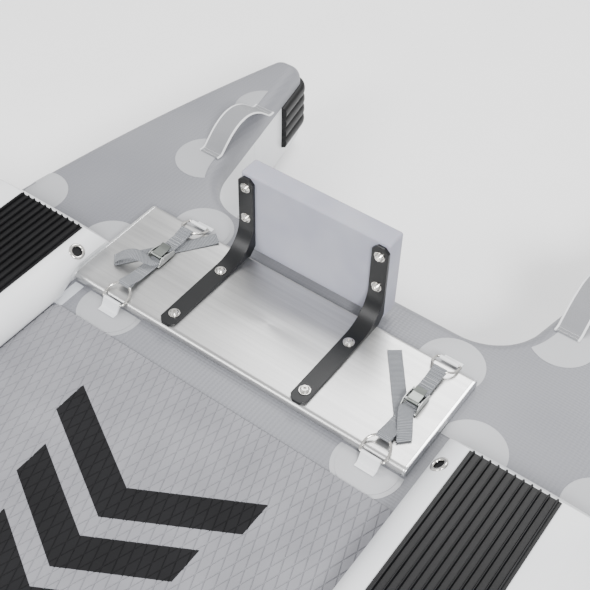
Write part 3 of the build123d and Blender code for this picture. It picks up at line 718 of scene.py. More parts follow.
bm = bmesh.new()
rows = [[press_aside(p) for p in row] for row in chamber_rows()]
grid, _ = skin(bm, rows)
for end in (grid[0], grid[-1]):
    ring = end
    middle = sum((v.co for v in ring), Vector()) / len(ring)
    for share, swell in ((0.93, 1.5 * MM), (0.75, 3.5 * MM), (0.45, 5 * MM)):
        inner_ring = [
            bm.verts.new(middle + (v.co - middle) * share + Vector((-swell, 0, 0))) for v in end
        ]
        for k in range(len(ring)):
            n = (k + 1) % len(ring)
            bm.faces.new((ring[k], ring[n], inner_ring[n], inner_ring[k]))
        ring = inner_ring
    bm.faces.new(ring)
bmesh.ops.remove_doubles(bm, verts=bm.verts, dist=0.00001)
bmesh.ops.recalc_face_normals(bm, faces=bm.faces)
chamber_mesh = bpy.data.meshes.new("side_chambers_uncut")
bm.to_mesh(chamber_mesh)
bm.free()
print("side chambers swept through", len(rows), "sections")

# %% [markdown]
# ## Eyelets
# A pressed steel eyelet sits in each inner shoulder, beside the plank.  Its flange is rolled over
# the fabric and its cup goes down through a punched hole.  The hole is cut with a boolean, and the
# eyelet is one profile turned about its own axis.

# %% Punch the holes and turn the eyelets
EYELET_X = MOUNT_X + 93 * MM
SHOULDER_Y = INNER + SHOULDER
EYELET_LEAN = math.asin((SHOULDER_Y - 371.6 * MM) / SHOULDER)
eyelet_seats = []
for side, sign in SIDES:
    normal = Vector((0, -sign * math.sin(EYELET_LEAN), math.cos(EYELET_LEAN)))
    seat = Vector((EYELET_X, sign * SHOULDER_Y, DECK + FOOT)) + normal * SHOULDER
    eyelet_seats.append((seat, normal))


def turned_profile(bm, profile, seat, normal, segments=40):
    """Turn (radius, height) points about an axis; returns the faces made, ring by ring."""
    spin = normal.to_track_quat("Z", "Y").to_matrix()
    rows = []
    for radius, height in profile:
        turns = [2 * math.pi * n / segments for n in range(segments)]
        ring = [Vector((radius * math.cos(a), radius * math.sin(a), height)) for a in turns]
        rows.append([seat + spin @ p for p in ring])
    grid, faces = skin(bm, rows)
    faces.append(bm.faces.new(grid[0]))
    faces.append(bm.faces.new(grid[-1]))
    return faces


cutter_bm = bmesh.new()
for seat, normal in eyelet_seats:
    turned_profile(cutter_bm, [(9.2 * MM, 8 * MM), (9.2 * MM, -9 * MM)], seat, normal, 32)
bmesh.ops.recalc_face_normals(cutter_bm, faces=cutter_bm.faces)
cutter_mesh = bpy.data.meshes.new("eyelet_cutter")
cutter_bm.to_mesh(cutter_mesh)
cutter_bm.free()
cutter = bpy.data.objects.new("eyelet_cutter", cutter_mesh)
uncut = bpy.data.objects.new("side_chambers_uncut", chamber_mesh)
for made in (cutter, uncut):
    bpy.context.scene.collection.objects.link(made)
punch = uncut.modifiers.new("punch", "BOOLEAN")
punch.operation = "DIFFERENCE"
punch.object = cutter
graph = bpy.context.evaluated_depsgraph_get()
punched = bpy.data.meshes.new_from_object(uncut.evaluated_get(graph), depsgraph=graph)
for made in (cutter, uncut):
    bpy.data.objects.remove(made)
punched.name = "side_chambers"
punched.materials.clear()
chamber_nodes = ["side_chamber_port", "side_chamber_stbd"]
place_piece("side_chambers", punched, [wall_fabric], chamber_nodes)

eyelet_profile = [(15.0, -2.2), (15.0, 0.2), (14.4, 1.1), (13.0, 1.9), (11.6, 2.2), (10.2, 1.9)]
eyelet_profile += [(9.2, 1.0), (8.8, -0.5), (8.6, -5.5), (8.0, -7.0), (6.5, -7.8), (3.0, -8.0)]
bm = bmesh.new()
for seat, normal in eyelet_seats:
    for face in turned_profile(bm, [(r * MM, h * MM) for r, h in eyelet_profile], seat, normal):
        # Deeper than 1.5 mm the cup is black rubber: painted shade for the dark hole through the
        # eyelet.
        depth = (face.calc_center_median() - seat).dot(normal)
        face.material_index = 1 if depth < -1.5 * MM else 0
settle("eyelet_rings", bm, [stainless, cover_rubber], ["eyelets"], angle=40)

# %% [markdown]
# ## Small welded pieces
# Round patches back the outer corners of the chambers' after ends and follow the rolled edge of
# the deck.  The white wall is a long strip, so its lengths are joined by upright butt straps: at
# the bow, at each quarter and on the inner side of each tail.

# %% Outer corner patches and butt straps
def half_beam_at(x):
    """Half width of the tapering part of the hull."""
    return HALF_BEAM - TAPER_RADIUS + math.sqrt(TAPER_RADIUS**2 - max(TAPER_X - x, 0) ** 2)


# (radius, rise) of a patch in millimetres, from its middle to its fine edge
patch_steps = ((1, 0.8), (20, 0.8), (40, 0.8), (52, 0.8), (59, 0.75), (60, 0.5), (60.3, -0.3))
bm = bmesh.new()
for side, sign in SIDES:
    rows = []
    for radius, lift in patch_steps:
        row = []
        for n in range(64):
            a = 2 * math.pi * n / 64
            x = CHAMBER_BACK - 20 * MM + radius * MM * math.cos(a)
            y = 594 * MM + radius * MM * math.sin(a)
            y = min(y, half_beam_at(x) - 3 * MM)
            near = max(EDGE_ROLL - (half_beam_at(x) - y), 0)
            drop = EDGE_ROLL - math.sqrt(EDGE_ROLL**2 - near**2)
            row.append((x, sign * y, DECK - drop + lift * MM))
        rows.append(row)
    grid, _ = skin(bm, rows)
    bm.faces.new(grid[0])
settle("outer_corner_patches", bm, [patch_fabric], (), angle=50)

# (along the wall, out of it) of a butt strap's section, in millimetres
butt_section = ((-15, -0.5), (-15, 0.3), (-13.5, 0.8), (13.5, 0.8), (15, 0.3), (15, -0.5))
bm = bmesh.new()
for target in ((2.0, 0.0), (-0.62, 0.7), (-0.62, -0.7), (-1.2, 0.3), (-1.2, -0.3)):
    x, y, nx, ny = min(outline, key=lambda p: math.dist(p[:2], target))
    rows = []
    for z in [10 * MM] + list(np.linspace(14 * MM, SEAM_Z - 1.5 * MM, 12)):
        inset = wall_inset(z)
        row = []
        for slide, out in butt_section:
            px, py = x - ny * slide * MM, y + nx * slide * MM
            move = out * MM - inset
            row.append((px + nx * move, py + ny * move, raked(px, z)))
        rows.append(row)
    grid, _ = skin(bm, rows)
    bm.faces.new(grid[0])
    bm.faces.new(grid[-1])
settle("wall_butt_straps", bm, [wall_fabric], (), angle=50)

# %% [markdown]
# ## Tape at the chambers' outer foot
# Where a chamber's foot meets the deck on the outside, a narrow clear tape closes the joint.  It
# follows the same path as the chambers, so it is a second, much smaller section on that path.

# %% Outer foot tape
tape_section = [(622, 0.1), (624, 3.2), (627, 1.5), (632, 0.8), (639, 0.55), (640, 0.05)]
tape_rows = []
for x in np.linspace(CHAMBER_BACK + 150 * MM, BOW_CENTRE, 30):
    tape_rows.append([(x, y * MM, DECK + z * MM) for y, z in tape_section])
for n in range(1, 73):
    a = math.pi / 2 - math.pi * n / 72
    tape_rows.append(
        [
            (BOW_CENTRE + y * MM * math.cos(a), y * MM * math.sin(a), DECK + z * MM)
            for y, z in tape_section
        ]
    )
tape_rows += [[(x, -y, z) for x, y, z in row] for row in reversed(tape_rows[:29])]
bm = bmesh.new()
grid, _ = skin(bm, tape_rows)
bm.faces.new(grid[0])
bm.faces.new(grid[-1])
settle("outer_foot_tape", bm, [tape_film], (), angle=40)

# %% [markdown]
# ## Ribbed covers on the side chambers
# Each cover is a black rubber mat with eleven round ribs.  A Geometry Nodes tree makes it: one
# rib is a flattened rod, and Mesh Line repeats it across the mat at the rib pitch.  Its sizes are
# named inputs, so one tree serves both sides.

# %% Geometry Nodes helpers
def shape_tree(name, inputs):
    """A new Geometry Nodes tree with named inputs, and its group input and output nodes."""
    tree = bpy.data.node_groups.new(name, "GeometryNodeTree")
    tree.interface.new_socket("Geometry", in_out="INPUT", socket_type="NodeSocketGeometry")
    for label, kind in inputs.items():
        tree.interface.new_socket(label, in_out="INPUT", socket_type=kind)
    tree.interface.new_socket("Geometry", in_out="OUTPUT", socket_type="NodeSocketGeometry")
    return tree, add(tree, "NodeGroupInput")


def close_tree(tree, geometry_socket, material):
    """Realize the instances, set the material and send the result out."""
    real = add(tree, "GeometryNodeRealizeInstances", {0: geometry_socket})
    sockets = {"Geometry": real.outputs[0], "Material": material}
    dressed = add(tree, "GeometryNodeSetMaterial", sockets)
    add(tree, "NodeGroupOutput", {0: dressed.outputs[0]})


def grow(name, tree, values, base=None):
    """Run a tree on a base mesh with the given inputs and return the plain mesh it makes."""
    carrier = bpy.data.objects.new(name + "_carrier", base or bpy.data.meshes.new(name + "_base"))
    bpy.context.scene.collection.objects.link(carrier)
    modifier = carrier.modifiers.new("grow", "NODES")
    modifier.node_group = tree
    keys = {s.name: s.identifier for s in tree.interface.items_tree if s.in_out == "INPUT"}
    for label, value in values.items():
        modifier[keys[label]] = value
    graph = bpy.context.evaluated_depsgraph_get()
    mesh = bpy.data.meshes.new_from_object(carrier.evaluated_get(graph), depsgraph=graph)
    carrier.modifiers.remove(modifier)
    bpy.data.objects.remove(carrier)
    mesh.name = name
    return mesh


print("geometry node helpers ready")

# %% Ribbed covers
mat_tree, group = shape_tree(
    "ribbed mat",
    {
        "Length": "NodeSocketFloat",
        "Pitch": "NodeSocketFloat",
        "Count": "NodeSocketInt",
        "Rib Width": "NodeSocketFloat",
        "Rib Height": "NodeSocketFloat",
        "Base": "NodeSocketFloat",
        "Corner": "NodeSocketVector",
    },
)
give = group.outputs
rib_round = add(mat_tree, "GeometryNodeCurvePrimitiveCircle", {"Resolution": 14, "Radius": 0.5})
rib_size = add(
    mat_tree, "ShaderNodeCombineXYZ", {0: give["Rib Height"], 1: give["Rib Width"], 2: 1.0}
)
rib_flat = add(
    mat_tree,
    "GeometryNodeTransform",
    {"Geometry": rib_round.outputs[0], "Scale": rib_size.outputs[0]},
)
rib_end = add(mat_tree, "ShaderNodeCombineXYZ", {0: give["Length"]})
rib_line = add(mat_tree, "GeometryNodeCurvePrimitiveLine", {"End": rib_end.outputs[0]})
rib_rod = add(
    mat_tree,
    "GeometryNodeCurveToMesh",
    {"Curve": rib_line.outputs[0], "Profile Curve": rib_flat.outputs[0], "Fill Caps": True},
)
across = add(mat_tree, "ShaderNodeCombineXYZ", {1: give["Pitch"]})
rib_places = add(
    mat_tree, "GeometryNodeMeshLine", {"Count": give["Count"], "Offset": across.outputs[0]}
)
ribs = add(
    mat_tree,
    "GeometryNodeInstanceOnPoints",
    {"Points": rib_places.outputs[0], "Instance": rib_rod.outputs[0]},
)
mat_width = maths(mat_tree, "MULTIPLY", give["Count"], give["Pitch"])
base_size = add(
    mat_tree, "ShaderNodeCombineXYZ", {0: give["Length"], 1: mat_width, 2: give["Base"]}
)
base_box = add(mat_tree, "GeometryNodeMeshCube", {"Size": base_size.outputs[0]})
half_size = add(
    mat_tree, "ShaderNodeVectorMath", {0: base_size.outputs[0], 3: 0.5}, operation="SCALE"
)
half_pitch = maths(mat_tree, "MULTIPLY", give["Pitch"], -0.5)
base_slip = add(mat_tree, "ShaderNodeCombineXYZ", {1: half_pitch, 2: 0.0})
base_move = add(
    mat_tree,
    "ShaderNodeVectorMath",
    {0: half_size.outputs[0], 1: base_slip.outputs[0]},
    operation="ADD",
)
half_base = maths(mat_tree, "MULTIPLY", give["Base"], -0.5)
sink = add(mat_tree, "ShaderNodeCombineXYZ", {2: half_base})
base_sunk = add(
    mat_tree,
    "ShaderNodeVectorMath",
    {0: base_move.outputs[0], 1: sink.outputs[0]},
    operation="ADD",
)
base_put = add(
    mat_tree,
    "GeometryNodeTransform",
    {"Geometry": base_box.outputs[0], "Translation": base_sunk.outputs[0]},
)
whole = add(mat_tree, "GeometryNodeJoinGeometry")
mat_tree.links.new(base_put.outputs[0], whole.inputs[0])
mat_tree.links.new(ribs.outputs[0], whole.inputs[0])
whole_put = add(
    mat_tree,
    "GeometryNodeTransform",
    {"Geometry": whole.outputs[0], "Translation": give["Corner"]},
)
close_tree(mat_tree, whole_put.outputs[0], cover_rubber)

RIB_COUNT = 11
for side, way in SIDES:
    low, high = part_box(f"ribbed_cover_{side}")
    width = high.y - low.y
    pitch = width / RIB_COUNT
    mesh = grow(
        f"ribbed_mat_{side}",
        mat_tree,
        {
            "Length": high.x - low.x,
            "Pitch": pitch,
            "Count": RIB_COUNT,
            "Rib Width": pitch * 0.9,
            "Rib Height": 2 * (high.z - low.z - 1.2 * MM),
            "Base": 2.0 * MM,
            "Corner": (low.x, low.y + pitch / 2, low.z + 1.0 * MM),
        },
    )
    place_piece(f"ribbed_mat_{side}", mesh, None, [f"ribbed_cover_{side}"])

# %% [markdown]
# ## Bumpers round the tail tips
# Each tip wears a black rubber moulding with four stacked lobes.  Its section is carried round the
# same outline as the hull, only where the outline is near the tip.

# %% Tail bumpers
LOBES = 4
bumper_low, bumper_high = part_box("tail_bumper_port")
BUMPER_DEPTH = hull_low.x - bumper_low.x


def bumper_section():
    """(out from the outline, height): lobed outside, then back down inside the wall."""
    z0, z1 = bumper_low.z, bumper_high.z
    steps = 8 * LOBES
    outer = []
    for n in range(steps + 1):
        share = n / steps
        lobe = abs(math.sin(math.pi * share * LOBES))
        depth = BUMPER_DEPTH * (0.42 + 0.58 * lobe**0.5)
        if n in (0, steps):
            depth = 1.0 * MM
        outer.append((depth, z0 + (z1 - z0) * share))
    return outer + [(-6 * MM, z1 - MM), (-6 * MM, z0 + MM)]


for side, way in SIDES:
    bm = bmesh.new()
    stretch = [p for p in outline if p[1] * way > 0 and p[0] < bumper_high.x and p[1] * way > 0.38]
    rows = [[(x + nx * d, y + ny * d, z) for d, z in bumper_section()] for x, y, nx, ny in stretch]
    grid, _ = skin(bm, rows)
    bm.faces.new(grid[0])
    bm.faces.new(list(reversed(grid[-1])))
    node = f"tail_bumper_{side}"
    settle(f"tail_bumper_skin_{side}", bm, [cover_rubber], [node], angle=60)

# %% [markdown]
# ## The deck pad
# The foam is pressed with grooves that cross at a slight angle and leave long diamonds, about
# 48 by 17 mm.  The pad's outline is one flat face that is cut by every groove's three lines, and
# the middle line is then pushed down, so each groove is real geometry and ends cleanly at the
# pad's edge.  Three black chevrons are cut out of the same sheet in the same way.

# %% The deck pad and its mark
pad_low, pad_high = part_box("deck_pad")
mark_low, mark_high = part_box("pad_inlay")
DIAMOND_LONG = 48 * MM
DIAMOND_SHORT = 17.5 * MM
GROOVE_HALF = 1.3 * MM
GROOVE_DEPTH = 1.4 * MM
PAD_CORNER = 12 * MM
PAD_HALF = pad_high.y
NOSE = pad_high.x - BOW_CENTRE


def pad_outline(shrink=0.0):
    half = PAD_HALF - shrink
    points = []
    for n in range(61):
        a = math.pi / 2 - math.pi * n / 60
        points.append((BOW_CENTRE + (NOSE - shrink) * math.cos(a), half * math.sin(a)))
    back = pad_low.x + shrink
    for centre_y, start in ((-half + PAD_CORNER, -math.pi / 2), (half - PAD_CORNER, -math.pi)):
        for n in range(5):
            a = start - math.pi / 2 * n / 4
            corner_x = back + PAD_CORNER + PAD_CORNER * math.cos(a)
            points.append((corner_x, centre_y + PAD_CORNER * math.sin(a)))
    return points


def inside(point, polygon):
    """Whether a plan point is inside a polygon."""
    x, y = point
    hit = False
    for (xa, ya), (xb, yb) in zip(polygon, polygon[1:] + polygon[:1]):
        if (ya > y) != (yb > y) and x < xa + (y - ya) * (xb - xa) / (yb - ya):
            hit = not hit
    return hit


chevrons = []
for n in range(3):
    x = mark_low.x + n * 120 * MM
    reach = (190 - 34 * n) * MM
    width = 62 * MM
    chevrons.append(
        [
            (x, -reach),
            (x + reach * 0.55, 0),
            (x, reach),
            (x + width, reach),
            (x + width + reach * 0.55, 0),
            (x + width, -reach),
        ]
    )

lean = math.atan2(DIAMOND_SHORT, DIAMOND_LONG)
gap = DIAMOND_SHORT * math.cos(lean)
top_z = pad_high.z - GROOVE_DEPTH * 0.2
bm = bmesh.new()
bm.faces.new([bm.verts.new((x, y, top_z)) for x, y in pad_outline(1.2 * MM)])
centre = Vector(((pad_low.x + pad_high.x) / 2, 0, 0))
span = (pad_high.x - pad_low.x) / 2 * math.sin(lean) + PAD_HALF * math.cos(lean)
groove_lines = []
for way in (1, -1):
    normal = Vector((-math.sin(lean) * way, math.cos(lean), 0))
    for n in range(-int(span / gap), int(span / gap) + 1):
        groove_lines.append((centre + normal * gap * n, normal))
for point, normal in groove_lines:
    for slip in (-GROOVE_HALF, 0, GROOVE_HALF):
        bmesh.ops.bisect_plane(
            bm, geom=bm.verts[:] + bm.edges[:] + bm.faces[:], dist=0.000001,
            plane_co=point + normal * slip, plane_no=normal,
        )
print("pad cut into", len(bm.faces), "faces by", len(groove_lines), "grooves")

# %% Cut the chevrons out and press the grooves
def cut_by_edges(bm, polygon):
    """Cut faces along a polygon's edges, only near the polygon."""
    for (xa, ya), (xb, yb) in zip(polygon, polygon[1:] + polygon[:1]):
        near = [
            f
            for f in bm.faces
            if min(xa, xb) - 0.03 < f.calc_center_median().x < max(xa, xb) + 0.03
            and min(ya, yb) - 0.03 < f.calc_center_median().y < max(ya, yb) + 0.03
        ]
        geom = list({v for f in near for v in f.verts})
        geom += list({e for f in near for e in f.edges}) + near
        bmesh.ops.bisect_plane(
            bm, geom=geom, dist=0.000001, plane_co=(xa, ya, 0), plane_no=(yb - ya, xa - xb, 0)
        )


for polygon in chevrons:
    cut_by_edges(bm, polygon)
for vert in bm.verts:
    for point, normal in groove_lines:
        if abs((vert.co - point).dot(normal)) < 0.00002:
            vert.co.z = top_z - GROOVE_DEPTH
            break
marked = [f for f in bm.faces if any(inside(f.calc_center_median().xy, c) for c in chevrons)]
mark_bm = bm.copy()
bm.faces.index_update()
chosen = {f.index for f in marked}
unmarked = [f for f in mark_bm.faces if f.index not in chosen]
bmesh.ops.delete(mark_bm, geom=unmarked, context="FACES")
bmesh.ops.delete(bm, geom=marked, context="FACES")
mark_floor = pad_high.z - 2.5 * MM
pad_floor = pad_low.z + 0.1 * MM


def thicken(bm, floor, rise=0.0):
    """Close an open sheet into a slab that stands on a floor."""
    border = [e for e in bm.edges if e.is_boundary]
    made = bmesh.ops.extrude_edge_only(bm, edges=border)
    low = [g for g in made["geom"] if isinstance(g, bmesh.types.BMVert)]
    for vert in low:
        vert.co.z = floor
    for vert in set(bm.verts) - set(low):
        vert.co.z += rise
    rim = [e for e in made["geom"] if isinstance(e, bmesh.types.BMEdge) and e.is_boundary]
    bmesh.ops.holes_fill(bm, edges=rim, sides=0)


thicken(mark_bm, mark_floor, 0.5 * MM)
thicken(bm, pad_floor)
settle("deck_pad_foam", bm, [pad_foam], ["deck_pad"], angle=20)
settle("deck_pad_mark", mark_bm, [mark_foam], ["pad_inlay"], angle=20)

# %% [markdown]
# ## Webbing
# Webbing is a thin woven strip, so it bends along its length but stays straight across.  A strip
# is a row of stations: a centre and a direction across.  `flow` runs a smooth line through a few
# of them and spaces it evenly; `weave_strip` skins a rounded thin section along it and gives each
# corner its place on the flat strip, which is where the weave is drawn.

# %% Strips of webbing
def flow(keys, step):
    """A smooth, evenly spaced run through keys of (centre, across)."""
    keys = [np.array([*centre, *across], float) for centre, across in keys]
    ends = [2 * keys[0] - keys[1], *keys, 2 * keys[-1] - keys[-2]]
    fine = []
    for a, b, c, d in zip(ends, ends[1:], ends[2:], ends[3:]):
        for t in np.arange(0, 1, 1 / 24):
            bend = (2 * a - 5 * b + 4 * c - d) * t**2 + (3 * b - a - 3 * c + d) * t**3
            fine.append(0.5 * (2 * b + (c - a) * t + bend))
    fine = np.array(fine + [keys[-1]])
    run = np.concatenate([[0], np.cumsum(np.linalg.norm(np.diff(fine[:, :3], axis=0), axis=1))])
    even = np.linspace(0, run[-1], max(2, math.ceil(run[-1] / step)) + 1)
    spaced = np.stack([np.interp(even, run, fine[:, k]) for k in range(6)], axis=1)
    return [(Vector(row[:3]), Vector(row[3:])) for row in spaced]


def half_turn(centre, radius, start, end, across, ahead):
    """Stations round an upright arc; angles run from ahead (0) to up (90 degrees)."""
    turns = np.radians(np.linspace(start, end, 13))
    return [
        (centre + ahead * radius * math.cos(a) + Vector((0, 0, radius * math.sin(a))), across)
        for a in turns
    ]


def weave_strip(bm, path, width, thickness, ripple=0.0, pitch=4.6 * MM, ridge=None):
    """Skin a strip along its stations; return its length and (centre, across, normal) frames."""
    half, edge = width / 2, thickness * 0.4
    spots = np.linspace(edge - half, half - edge, 9 if ridge is None else 33)
    upper = [(u, thickness / 2 + (ridge(u / half) if ridge else 0)) for u in spots]
    lower = [(u, -thickness / 2) for u in spots[::-1]]
    profile = upper + [(half, 0)] + lower + [(-half, 0)]
    rows, strip, frames, run = [], [], [], 0.0
    for i, (centre, across) in enumerate(path):
        before, after = path[max(i - 1, 0)][0], path[min(i + 1, len(path) - 1)][0]
        run += (centre - before).length
        across = across.normalized()
        normal = across.cross(after - before).normalized()
        lift = ripple * math.sin(2 * math.pi * run / pitch)
        rows.append([centre + across * u + normal * (v + lift) for u, v in profile])
        strip.append([(u, run) for u, _ in profile])
        frames.append((centre, across, normal))
    grid, _ = skin(bm, rows, strip=strip)
    bm.faces.new(grid[0])
    bm.faces.new(grid[-1])
    return run, frames


thread_rows = []


def sew_across(frames, share, half, top):
    """Note a row of stitches across a strip, at a share of its length and on its upper face."""
    centre, across, normal = frames[round(share * (len(frames) - 1))]
    facing = 1 if normal.z > 0 else -1
    thread_rows.append(
        [
            centre + across * u + normal * facing * top(u * facing)
            for u in np.linspace(-half, half, 27)
        ]
    )


print("webbing helpers ready")

# %% [markdown]
# ## Lashing straps
# On each side a short doubled strap holds the buckle to the after ring and a long strap runs from
# the forward ring under the buckle's cam.  Both are sewn back on themselves in a loop round the
# ring.  The short one is pleated where its two plies are sewn together.

# %% Straps from ring to buckle
PLATE_TOP = plate_high.z
WEB_WIDTH = 25 * MM
WEB_THICK = 1.6 * MM
ring_low, ring_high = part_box("d_ring_fore_port")
EYE_Z = ring_high.z - 2.6 * MM
EYE_OUT = ring_low.x - MOUNT_X + 4.5 * MM
EYE_RADIUS = 4.2 * MM
STRAP_Z = PLATE_TOP + 5.1 * MM
BAR_Z = PLATE_TOP + 8.6 * MM


def strap_station(way, y, out, z):
    """A station across a strap: out is measured from the plank's middle towards the ring."""
    return (Vector((MOUNT_X + way * out, y, z)), Vector((0, 1, 0)))


for side, sign in SIDES:
    frame_low, frame_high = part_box(f"cam_frame_{side}")
    middle_y = (frame_low.y + frame_high.y) / 2
    middle_x = (frame_low.x + frame_high.x) / 2 - MOUNT_X
    for kind, way in (("long", 1), ("short", -1)):
        ahead = Vector((way, 0, 0))
        round_ring = half_turn(
            Vector((MOUNT_X + way * (EYE_OUT - 2.2 * MM), middle_y, EYE_Z)),
            EYE_RADIUS,
            90,
            -90,
            Vector((0, 1, 0)),
            ahead,
        )
        neck = [
            (EYE_OUT - 4 * MM, EYE_RADIUS),
            (EYE_OUT - 10 * MM, 1.9 * MM),
            (EYE_OUT - 15 * MM, 0.85 * MM),
        ]
        top = [strap_station(way, middle_y, x, EYE_Z + z) for x, z in neck]
        low = [strap_station(way, middle_y, x, EYE_Z - z) for x, z in neck]
        if kind == "long":
            back = middle_x - 6 * MM
            start = [(back, STRAP_Z), (middle_x + 26 * MM, STRAP_Z), (54 * MM, STRAP_Z + 2.4 * MM)]
            upper = [strap_station(way, middle_y, x, z) for x, z in start] + top[::-1]
            lower = low + [strap_station(way, middle_y, 54 * MM, STRAP_Z + 0.7 * MM)]
        else:
            bar_out = -(middle_x - 18.5 * MM)
            bar_centre = Vector((MOUNT_X - bar_out, middle_y, BAR_Z))
            round_bar = half_turn(bar_centre, 2.9 * MM, -90, -270, Vector((0, 1, 0)), ahead)
            under = [strap_station(way, middle_y, x * MM, BAR_Z - 0.87 * MM) for x in (47, 36)]
            over = [strap_station(way, middle_y, x * MM, BAR_Z + 0.85 * MM) for x in (36, 48, 60)]
            upper = under + round_bar + over + top[::-1]
            lower = low + [strap_station(way, middle_y, x * MM, BAR_Z - 0.9 * MM) for x in (60, 48)]
        path = flow(upper, 0.6 * MM) + flow(round_ring, 0.6 * MM)[1:-1] + flow(lower, 0.6 * MM)
        bm = bmesh.new()
        ripple = 0.5 * MM if kind == "short" else 0.0
        length, frames = weave_strip(bm, path, WEB_WIDTH, WEB_THICK, ripple)
        upper_rows = (0.36, 0.39, 0.44) if kind == "long" else (0.30, 0.36, 0.42, 0.48)
        for share in upper_rows:
            sew_across(frames, share, 10.5 * MM, lambda u: WEB_THICK / 2 + 0.1 * MM + ripple)
        node = f"strap_{kind}_{side}"
        web_name = f"strap_{kind}_web_{side}"
        settle(web_name, bm, [strap_weave], [node], angle=60)
        print(web_name, "is", round(length * 1000), "mm of webbing")

# %% [markdown]
# ## Loose tails
# Each long strap's end comes out of the buckle's mouth, arches to a fold and lies back on the
# plank under the buckle.  Heights are above the plank, plan places run from the plank's middle.
# A fold in webbing is a small round turn, and where the two legs don't lie over each other the
# turn is skewed, so the direction across swings through the crease.

# %% Loose tails
# Each row is x and y in plan, height, and the strip's heading in degrees.
tail_plans = {
    "port": {
        "rise": [
            (8, 270, 7.4, 0),
            (17, 269, 12.6, 15),
            (38, 279.5, 16.6, 30),
            (55, 290, 11.5, 34),
            (65, 296, 5.6, 40),
        ],
        "crease": 45,
        "lie": [
            (50, 284.6, 1.2, 40),
            (-20, 231.4, 1.15, 37),
            (-66, 196.4, 1.2, 37),
            (-81, 185, 1.7, 37),
        ],
    },
    "stbd": {
        "rise": [
            (8, 270, 7.4, 0),
            (17, 274, 13.6, 42),
            (28, 297, 25.0, 62),
            (38, 318, 17.0, 64),
            (44, 330, 5.2, 60),
        ],
        "crease": 50,
        "lie": [
            (30, 319.8, 1.2, 38),
            (-36, 271.4, 1.15, 36),
            (-92, 230.4, 1.6, 36),
            (-109, 218, 3.6, 36),
        ],
    },
}


def tail_station(sign, x, y, z, heading):
    """A station of a tail on one side, from its plan's row."""
    turned = math.radians(heading)
    across = Vector((-math.sin(turned), sign * math.cos(turned), 0))
    return (Vector((MOUNT_X + x * MM, sign * y * MM, PLATE_TOP + z * MM)), across)


for side, sign in SIDES:
    plan = tail_plans[side]
    rise = [tail_station(sign, *row) for row in plan["rise"]]
    fold_x, fold_y, fold_z, _ = plan["rise"][-1]
    crease = math.radians(plan["crease"])
    radius = (fold_z - 1.15) / 2
    middle, across = tail_station(sign, fold_x, fold_y, 1.15 + radius, plan["crease"])
    ahead = Vector((math.cos(crease), sign * math.sin(crease), 0))
    fold = half_turn(middle, radius * MM, 90, -90, across, ahead)
    lie = [fold[-1]] + [tail_station(sign, *row) for row in plan["lie"]]
    path = flow(rise, 0.8 * MM) + flow(fold, 0.5 * MM)[1:-1] + flow(lie, 0.8 * MM)
    bm = bmesh.new()
    length, _ = weave_strip(bm, path, WEB_WIDTH, WEB_THICK * 0.85)
    node = f"strap_tail_{side}"
    web_name = f"strap_tail_web_{side}"
    piece = settle(web_name, bm, [strap_weave], [node], angle=60)
    print(piece.name, "is", round(length * 1000), "mm of webbing")

# %% [markdown]
# ## Carry handles
# A handle is a wide padded webbing with three long ridges, bound with a pale edge and welded flat
# to its patches at both ends.  It rises in an arch high enough for a hand.

# %% Carry handles
def handle_ridge(u):
    """Extra height of the padded webbing at u from -1 to 1 across it: three round ridges."""
    return 1.6 * MM * abs(math.sin(1.5 * math.pi * (u + 1))) ** 0.6 - 0.6 * MM


for side, sign in SIDES:
    low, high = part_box(f"carry_handle_{side}")
    middle_y = (low.y + high.y) / 2
    middle_x = (low.x + high.x) / 2
    reach = (high.x - low.x) / 2
    rise = high.z - low.z - 2 * MM
    arch = [(-1, 0.0), (-0.86, 0.012), (-0.72, 0.26), (-0.5, 0.64), (-0.25, 0.91), (0, 1.0)]
    arch += [(-x, z) for x, z in arch[-2::-1]]
    keys = [
        (Vector((middle_x + x * reach, middle_y, low.z + 1.5 * MM + z * rise)), Vector((0, 1, 0)))
        for x, z in arch
    ]
    path = flow(keys, 2 * MM)
    bm = bmesh.new()
    _, frames = weave_strip(bm, path, 42 * MM, 2.2 * MM, ridge=handle_ridge)
    for share in (0.012, 0.05, 0.95, 0.988):
        sew_across(frames, share, 20 * MM, lambda u: 1.3 * MM + handle_ridge(u / (21 * MM)))
    node = f"carry_handle_{side}"
    settle(f"handle_web_{side}", bm, [handle_weave], [node], angle=50)
    bm = bmesh.new()
    for edge in (-1, 1):
        slid = [(centre + across * edge * 22 * MM, across) for centre, across in path]
        weave_strip(bm, slid, 5 * MM, 3.0 * MM)
    settle(f"handle_binding_{side}", bm, [handle_binding], angle=50)

# %% [markdown]
# ## Stitches
# The rows noted while the webbing was made are sewn by one Geometry Nodes tree: each row becomes a
# curve, points are set along it at the stitch pitch, and a flattened bead lies on each one along
# the row.

# %% Sew the rows
stitch_tree, group = shape_tree(
    "stitch rows",
    {"Pitch": "NodeSocketFloat", "Stitch": "NodeSocketFloat", "Thread": "NodeSocketFloat"},
)
give = group.outputs
row_curve = add(stitch_tree, "GeometryNodeMeshToCurve", {0: give["Geometry"]})
row_points = add(
    stitch_tree,
    "GeometryNodeCurveToPoints",
    {"Curve": row_curve.outputs[0], "Length": give["Pitch"]},
    mode="LENGTH",
)
bead = add(stitch_tree, "GeometryNodeMeshUVSphere", {"Segments": 8, "Rings": 6, "Radius": 0.5})
bead_size = add(
    stitch_tree, "ShaderNodeCombineXYZ", {0: give["Stitch"], 1: give["Thread"], 2: give["Thread"]}
)
bead_turn = add(
    stitch_tree,
    "FunctionNodeAlignRotationToVector",
    {"Vector": row_points.outputs["Tangent"]},
    axis="X",
)
beads = add(
    stitch_tree,
    "GeometryNodeInstanceOnPoints",
    {
        "Points": row_points.outputs["Points"],
        "Instance": bead.outputs[0],
        "Rotation": bead_turn.outputs[0],
        "Scale": bead_size.outputs[0],
    },
)
